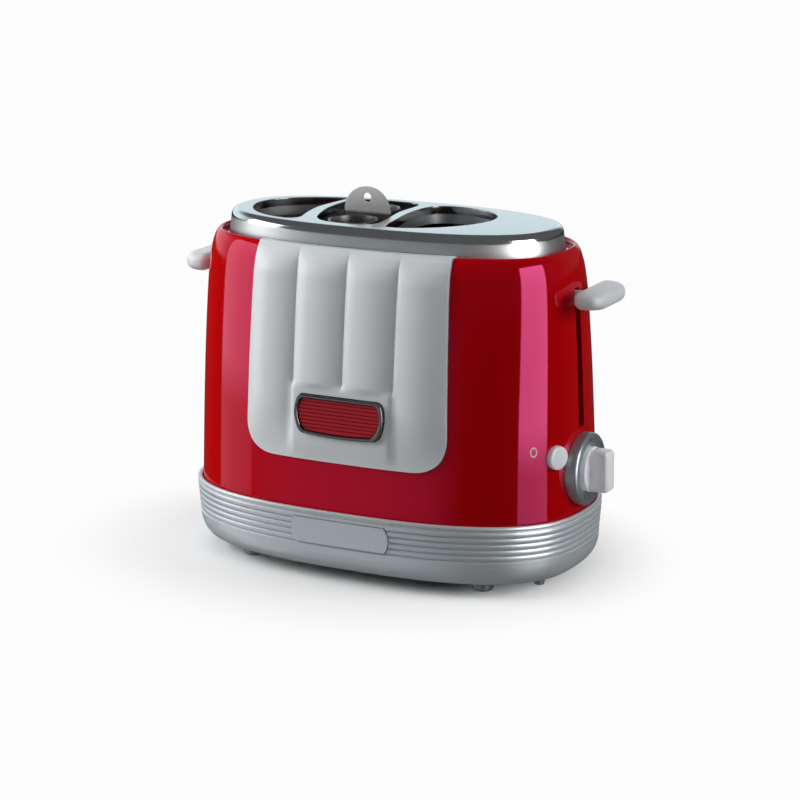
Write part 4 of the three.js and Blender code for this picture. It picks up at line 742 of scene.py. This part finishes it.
cover_profile = [
    (122.5, 56.6, 222.8), (122.1, 56.3, 226), (121.5, 55.9, 230), (121.1, 55.6, 233),
    (120.9, 55.4, 234.6), (120.7, 55.2, 235.6), (120.2, 54.7, 236.8), (119.5, 54.0, 237.8),
    (118.5, 53.1, 238.7), (117.3, 51.9, 239.25), (116.4, 51.1, 239.45), (115.6, 50.4, 239.5)]
cover_inside = [
    (121.3, 55.4, 212), (119.9, 54.3, 232), (119.4, 53.9, 235.4), (117.6, 52.2, 237.6),
    (115, 49.8, 238.3)]
collar_low, collar_high = 227, 238.9
cover = made("steel_cover", drawn_out(in_metres(cover_profile), power=COVER_POWER, steps=COVER_STEPS))
carve(cover, drawn_out(in_metres(cover_inside), power=COVER_POWER, steps=COVER_STEPS))
openings = {name: loop_of(shares) for name, shares in opening_shares.items()}
for outline in openings.values():
    carve(cover, level_slab(grown_loop(outline, COVER_SHEET), collar_low, collar_high), "UNION")
for outline in openings.values():
    carve(cover, level_slab(outline, 210, 250))
steel = finish_of(
    "brushed_steel", (0.70, 0.73, 0.74), 1, 0.24, grain=700, bump=0.01 * MM, stretch=(1, 1, 0.02))
# The band is satin, the rolled shoulder bright, and the flat a little duller again.
band_rough, shoulder_rough, flat_more = 0.42, 0.12, 0.13
tree = steel.node_tree
high = along(tree, tree.nodes["Texture Coordinate"].outputs["Object"], (0, 0, 1))
rolled = tree.nodes.new("ShaderNodeMath")
tree.links.new(soft_step(tree, high, 233 * MM, 235 * MM, band_rough, shoulder_rough), rolled.inputs[0])
tree.links.new(soft_step(tree, high, 239.2 * MM, 239.45 * MM, 0, flat_more), rolled.inputs[1])
tree.links.new(rolled.outputs[0], tree.nodes["Principled BSDF"].inputs["Roughness"])
dress(cover, steel, stands_for=["top_cover"], crisp=40, edge=0.9 * MM)

# Sausage cage. A loose satin steel basket: a plate with two rolled tubes' mouths, upright rods
# down to a cup under each, and a half-round tab with a hole to lift it by.
tubes = [(-20.5, -21.0), (-26.5, 22.0)]
cage_gap, cage_low, cage_top, cage_foot = 6, 231.3, 232.5, 137.7
tube_middle_line, rod_radius, rods = 16.2, 1.1, 4


def turned(profile, steps=64, closed=False):
    """A piece turned round the upright axis from (radius, height) points in millimetres."""
    bm = bmesh.new()
    corners = [bm.verts.new((radius * MM, 0, high * MM)) for radius, high in profile]
    pairs = list(zip(corners, corners[1:]))
    if closed:
        pairs.append((corners[-1], corners[0]))
    edges = [bm.edges.new(pair) for pair in pairs]
    bmesh.ops.spin(
        bm, geom=corners + edges, cent=(0, 0, 0), axis=(0, 0, 1), angle=2 * math.pi,
        steps=steps, use_merge=True)
    bmesh.ops.remove_doubles(bm, verts=bm.verts, dist=0.001 * MM)
    bmesh.ops.recalc_face_normals(bm, faces=bm.faces)
    return bm


def placed(bm, matrix):
    """Bring a mesh to its place on the object."""
    bmesh.ops.transform(bm, matrix=matrix, verts=bm.verts)
    return bm


cage_edge = grown_loop(openings["centre"], -cage_gap)
cage = made("sausage_cage_steel", level_slab(cage_edge, cage_low, cage_top))
for x, y in tubes:
    carve(cage, round_bar(16 * MM, (x * MM, y * MM, 220 * MM), (x * MM, y * MM, 250 * MM)))
for x, y in tubes:
    tube_at = Matrix.Translation((x * MM, y * MM, 0))
    mouth = [
        (15, 230.6), (15, 237.2), (15.3, 238.1), (16.2, 238.6), (17, 238.3), (17.3, 237.6),
        (17.1, 237), (16.4, 236.4), (16.2, 235), (16.4, 233.4), (17.4, 232.2), (17.4, cage_low)]
    carve(cage, placed(turned(mouth, closed=True), tube_at), "UNION")
    cup = [(7.5, 0), (7.5, 1.2), (15, 1.2), (15, 7), (16.2, 7), (17.2, 6.4), (17.2, 0)]
    cup_rings = [(radius, cage_foot + high) for radius, high in cup]
    carve(cage, placed(turned(cup_rings, closed=True), tube_at), "UNION")
    for rod in range(rods):
        turn = math.radians(45 + 360 / rods * rod)
        rod_x = (x + tube_middle_line * math.cos(turn)) * MM
        rod_y = (y + tube_middle_line * math.sin(turn)) * MM
        carve(cage, round_bar(
            rod_radius * MM, (rod_x, rod_y, (cage_foot + 1) * MM), (rod_x, rod_y, 232 * MM), 12), "UNION")
tab_x, tab_radius, tab_middle, tab_root, tab_front, tab_behind = -21, 17.5, 239.6, 231.9, -0.1, 1.3
tab_hole, tab_hole_high, rim_steps = 3.3, 249.6, 40
tab_rim = [
    (tab_radius * math.cos(turn), tab_middle + tab_radius * math.sin(turn))
    for turn in (math.pi * step / rim_steps for step in range(rim_steps + 1))]
tab_outline = [(tab_radius, tab_root), *tab_rim, (-tab_radius, tab_root)]
tab = upright_slab(
    [((x + tab_x) * MM, z * MM) for x, z in tab_outline], tab_front * MM, tab_behind * MM)
carve(cage, tab, "UNION")
carve(cage, round_bar(
    tab_hole * MM, (tab_x * MM, -6 * MM, tab_hole_high * MM), (tab_x * MM, 8 * MM, tab_hole_high * MM)))
cage_steel = finish_of(
    "cage_steel", (0.50, 0.485, 0.46), 0.7, 0.34, grain=800, bump=0.015 * MM, spread=0.06,
    stretch=(1, 1, 0.3))
# The cage's colour is painted by height. Below the cover's top it is dark, as painted shade down in the
# openings. Above it the tab is light, as painted light where it stands in the open.
painted_shade_grey, painted_lit_tab_grey = (0.15, 0.15, 0.155), (0.92, 0.905, 0.88)
tree = cage_steel.node_tree
high = along(tree, tree.nodes["Texture Coordinate"].outputs["Object"], (0, 0, 1))
tree.links.new(
    blend(tree, soft_step(tree, high, 238.5 * MM, 240.5 * MM), painted_shade_grey, painted_lit_tab_grey),
    tree.nodes["Principled BSDF"].inputs["Base Color"])
dress(cage, cage_steel, body="cage", stands_for=["sausage_cage"], edge=0.25 * MM)

# Lever paddles. A white moulded finger rest at each end of one carriage, with full round edges
# and a flat neck that runs in the slot of the housing.
paddle_size, paddle_at = Vector((21, 50, 12)) * MM, Vector((150.5, 6, 196.4)) * MM
outer_corner, inner_corner, edge_round = 13 * MM, 5.6 * MM, 5.4 * MM
neck_half, neck_low, neck_high, neck_end = 2.8 * MM, 190.5 * MM, 199.5 * MM, 146 * MM
right_root, left_root = 103.8 * MM, 128.8 * MM
lever_white = finish_of("lever_white", (0.68, 0.69, 0.72), 0, 0.3, grain=60, bump=0.02 * MM, spread=0.04)
for side, name in ((1, "right"), (-1, "left")):
    bm = bmesh.new()
    bmesh.ops.create_cube(bm, size=1)
    bmesh.ops.scale(bm, vec=paddle_size, verts=bm.verts)
    upright = [edge for edge in bm.edges if abs(edge.verts[0].co.z - edge.verts[1].co.z) > 1 * MM]
    bmesh.ops.bevel(
        bm, geom=[edge for edge in upright if edge.verts[0].co.x > 0], offset=outer_corner,
        segments=10, profile=0.5, affect="EDGES", material=-1)
    upright = [
        edge for edge in bm.edges
        if abs(edge.verts[0].co.z - edge.verts[1].co.z) > 1 * MM and edge.verts[0].co.x < -9 * MM]
    bmesh.ops.bevel(
        bm, geom=upright, offset=inner_corner, segments=6, profile=0.5, affect="EDGES", material=-1)
    level = [edge for edge in bm.edges if abs(edge.verts[0].co.z - edge.verts[1].co.z) < 0.1 * MM]
    bmesh.ops.bevel(
        bm, geom=level, offset=edge_round, segments=8, profile=0.5, affect="EDGES", material=-1)
    bmesh.ops.translate(bm, vec=paddle_at, verts=bm.verts)
    if side < 0:
        bmesh.ops.scale(bm, vec=(-1, 1, 1), verts=bm.verts)
        bmesh.ops.recalc_face_normals(bm, faces=bm.faces)
    paddle = made(f"{name}_lever_paddle", bm)
    root = right_root if side > 0 else left_root
    ends = sorted((side * root, side * neck_end))
    carve(paddle, block((ends[0], -neck_half, neck_low), (ends[1], neck_half, neck_high)), "UNION")
    dress(paddle, lever_white, body="carriage", stands_for=[f"lever_paddle_{name}"], crisp=50)

# Timer. A silver painted ring on the housing's end, with plain numbers printed on it, round a
# white disc with a bar grip that turns on the clockwork's shaft.
timer_sides = 96
timer_at = Matrix.Translation((0, 0, timer_high)) @ Matrix.Rotation(math.pi / 2, 4, "Y")
bezel_hole, bezel_play = 15.95 * MM, 0.3
dial_size, dial_reach, dial_face, dial_start, dial_step = 4.6 * MM, 20.4 * MM, 147.5 * MM, 150, 55
bezel_profile = [
    (0, 120), (24.5, 120), (24.5, 145.2), (24.2, 146.3), (23.3, 147.2), (22.2, 147.55),
    (18.6, 147.1), (17.0, 146.3), (16.0, 145.4), (0, 145.4)]
bezel = made("timer_ring", placed(turned(bezel_profile, timer_sides), timer_at))
carve(bezel, housing_core(-bezel_play, 225.5))
carve(bezel, round_bar(bezel_hole, (110 * MM, 0, timer_high), (152 * MM, 0, timer_high), timer_sides))
ring_paint = finish_of(
    "ring_paint", (0.34, 0.375, 0.40), 0.75, 0.36, grain=900, bump=0.03 * MM, spread=0.05)
dress(bezel, ring_paint, stands_for=["timer_bezel"])
dial_ink = finish_of("dial_ink", (0.03, 0.03, 0.035), 0, 0.5, grain=300, spread=0.1)
for mark in range(1, 6):
    turn = math.radians(dial_start - dial_step * mark)
    digit = bpy.data.curves.new(f"dial_number_{mark}", "FONT")
    digit.body = str(mark)
    digit.size = dial_size
    digit.extrude = 0.05 * MM
    digit.align_x = digit.align_y = "CENTER"
    letter = bpy.data.objects.new(f"dial_number_{mark}", digit)
    scene.collection.objects.link(letter)
    shape = bpy.data.meshes.new_from_object(letter.evaluated_get(bpy.context.evaluated_depsgraph_get()))
    bpy.data.objects.remove(letter)
    facing = Matrix(((0, 0, 1), (1, 0, 0), (0, 1, 0))).to_4x4()
    place = Vector((
        dial_face, dial_reach * math.cos(turn), timer_high + dial_reach * math.sin(turn)))
    shape.transform(Matrix.Translation(place) @ facing)
    number = bpy.data.objects.new(f"dial_number_{mark}", shape)
    scene.collection.objects.link(number)
    dress(number, dial_ink)

knob_profile = [(0, 141.2), (15.4, 141.2), (15.4, 148.2), (15.1, 148.8), (14.5, 149), (0, 149.1)]
grip_half, grip_tall, grip_near, grip_far, grip_round = 7 * MM, 14.2 * MM, 148 * MM, 161.6 * MM, 3.2 * MM
shaft_bore, bore_start, bore_end = 3.1 * MM, 130 * MM, 146.3 * MM
knob = made("timer_knob_disc", placed(turned(knob_profile, timer_sides), timer_at))
grip = block(
    (grip_near, -grip_half, timer_high - grip_tall), (grip_far, grip_half, timer_high + grip_tall))
outer = [edge for edge in grip.edges if max(vert.co.x for vert in edge.verts) > grip_far - 1.6 * MM]
bmesh.ops.bevel(
    grip, geom=outer, offset=grip_round, segments=7, profile=0.5, affect="EDGES", material=-1)
carve(knob, grip, "UNION")
carve(knob, round_bar(shaft_bore, (bore_start, 0, timer_high), (bore_end, 0, timer_high)))
knob_white = finish_of("knob_white", (0.90, 0.90, 0.93), 0, 0.25, grain=60, bump=0.02 * MM, spread=0.04)
dress(knob, knob_white, body="timer", stands_for=["timer_knob"], crisp=45, edge=0.3 * MM)

# Cancel button. A white turned button with a soft edge, square to the housing's corner. A flange
# behind the wall keeps it in its hole.
button_profile = [
    (0, -6.4), (10, -6.4), (10, -4.8), (8, -4.8), (8, 2.0), (7.8, 2.6), (7.2, 3.0), (5, 3.3), (0, 3.45)]
facing = button_out.to_track_quat("Z", "Y").to_matrix().to_4x4()
button = made("cancel_button_white", placed(
    turned(button_profile), Matrix.Translation(button_at) @ facing))
button_white = finish_of("button_white", (0.84, 0.86, 0.90), 0, 0.22, grain=60, bump=0.02 * MM, spread=0.04)
dress(button, button_white, body="button", stands_for=["cancel_button"], crisp=45)

# Off mark. A plain printed ring on the housing, on the button's left. Its print is a thin upright
# oval that follows the housing's face.
mark_at = Vector((126.12, -46.34, 99.5)) * MM
mark_out = Vector((0.7496, -0.6619, 0.08)).normalized()
mark_half_wide, mark_half_tall = 2.6, 3.5
mark_profile = [(0.66, -0.3), (0.66, 0.17), (1, 0.17), (1, -0.3)]
ring = turned(mark_profile, closed=True)
bmesh.ops.scale(ring, vec=(mark_half_wide, mark_half_tall, 1), verts=ring.verts)
facing = mark_out.to_track_quat("Z", "Y").to_matrix().to_4x4()
off_mark = made("off_mark", placed(ring, Matrix.Translation(mark_at) @ facing))
mark_ink = finish_of("mark_ink", (0.75, 0.52, 0.55), 0, 0.4, grain=300, spread=0.1)
dress(off_mark, mark_ink, crisp=45)

# Feet and cord posts. Small turned mouldings under the base, all in the base's grey. Four wide
# ones carry it and two slender ones under the ends hold the wound cord.
foot_grey = finish_of(
    "foot_grey", (0.30, 0.335, 0.355), 0.5, 0.42, grain=400, bump=0.02 * MM, spread=0.06)
foot_profile = [
    (0, 0), (6.0, 0), (6.7, 0.3), (7.1, 1.0), (7.4, 2.6), (7.8, 4.8), (8.5, 6.6), (9.2, 7.6),
    (9.2, 10), (0, 10)]
post_profile = [(0, 0.6), (2.7, 0.6), (3.2, 0.8), (3.5, 1.4), (4.2, 5.5), (4.7, 9.4), (4.7, 10), (0, 10)]
stands = {
    "foot_front_left": (-89, -46), "foot_front_right": (89, -46), "foot_rear_left": (-89, 46),
    "foot_rear_right": (89, 46), "cord_post_left": (-119, -21), "cord_post_right": (119, -21)}
for node, (x, y) in stands.items():
    profile = foot_profile if node.startswith("foot") else post_profile
    stand = placed(turned(profile, 48), Matrix.Translation((x * MM, y * MM, 0)))
    dress(made(f"turned_{node}", stand), foot_grey, stands_for=[node], crisp=40)

# Pieces kept as the frame has them. Sheet steel, wire, mica and plain mouldings under the base
# and inside the chamber, each with its own finish.
kept = {
    "under_black": ((0.02, 0.02, 0.022), 0, 0.55, 500, ["base_plate"]),
    "tray_paint": ((0.44, 0.48, 0.50), 0.7, 0.4, 600, ["crumb_tray"]),
    "zinc": ((0.55, 0.56, 0.57), 1, 0.35, 800, [
        "base_screw_1", "base_screw_2", "base_screw_3", "base_screw_4"]),
    "chassis_sheet": ((0.45, 0.46, 0.46), 1, 0.38, 120, [
        "chassis_floor", "end_plate_left", "end_plate_right", "card_rail_front", "card_rail_rear",
        "reflector_front", "reflector_rear", "lift_frame", "carriage_left", "carriage_right",
        "control_bracket"]),
    "mica_card": ((0.40, 0.31, 0.19), 0, 0.6, 90, ["heater_card_left", "heater_card_right"]),
    "heater_ribbon": ((0.20, 0.18, 0.17), 1, 0.5, 900, ["heater_winding_left", "heater_winding_right"]),
    "bright_wire": ((0.55, 0.55, 0.55), 1, 0.3, 900, [
        "wire_guard_left_outer", "wire_guard_left_inner", "wire_guard_right_outer",
        "wire_guard_right_inner", "guide_rod_left", "guide_rod_right", "lift_spring_left",
        "lift_spring_right", "timer_shaft"]),
    "rack_sheet": ((0.50, 0.50, 0.50), 1, 0.32, 500, ["bun_rack_left", "sausage_rack", "bun_rack_right"]),
    "black_moulding": ((0.02, 0.02, 0.022), 0, 0.5, 400, ["timer_unit", "cancel_switch", "hold_magnet"]),
}
for name, (colour, metallic, roughness, grain, names) in kept.items():
    finish = finish_of(name, colour, metallic, roughness, grain=grain, bump=0.02 * MM, spread=0.08)
    for node in names:
        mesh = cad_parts[node].data
        mesh.materials.clear()
        mesh.materials.append(finish)
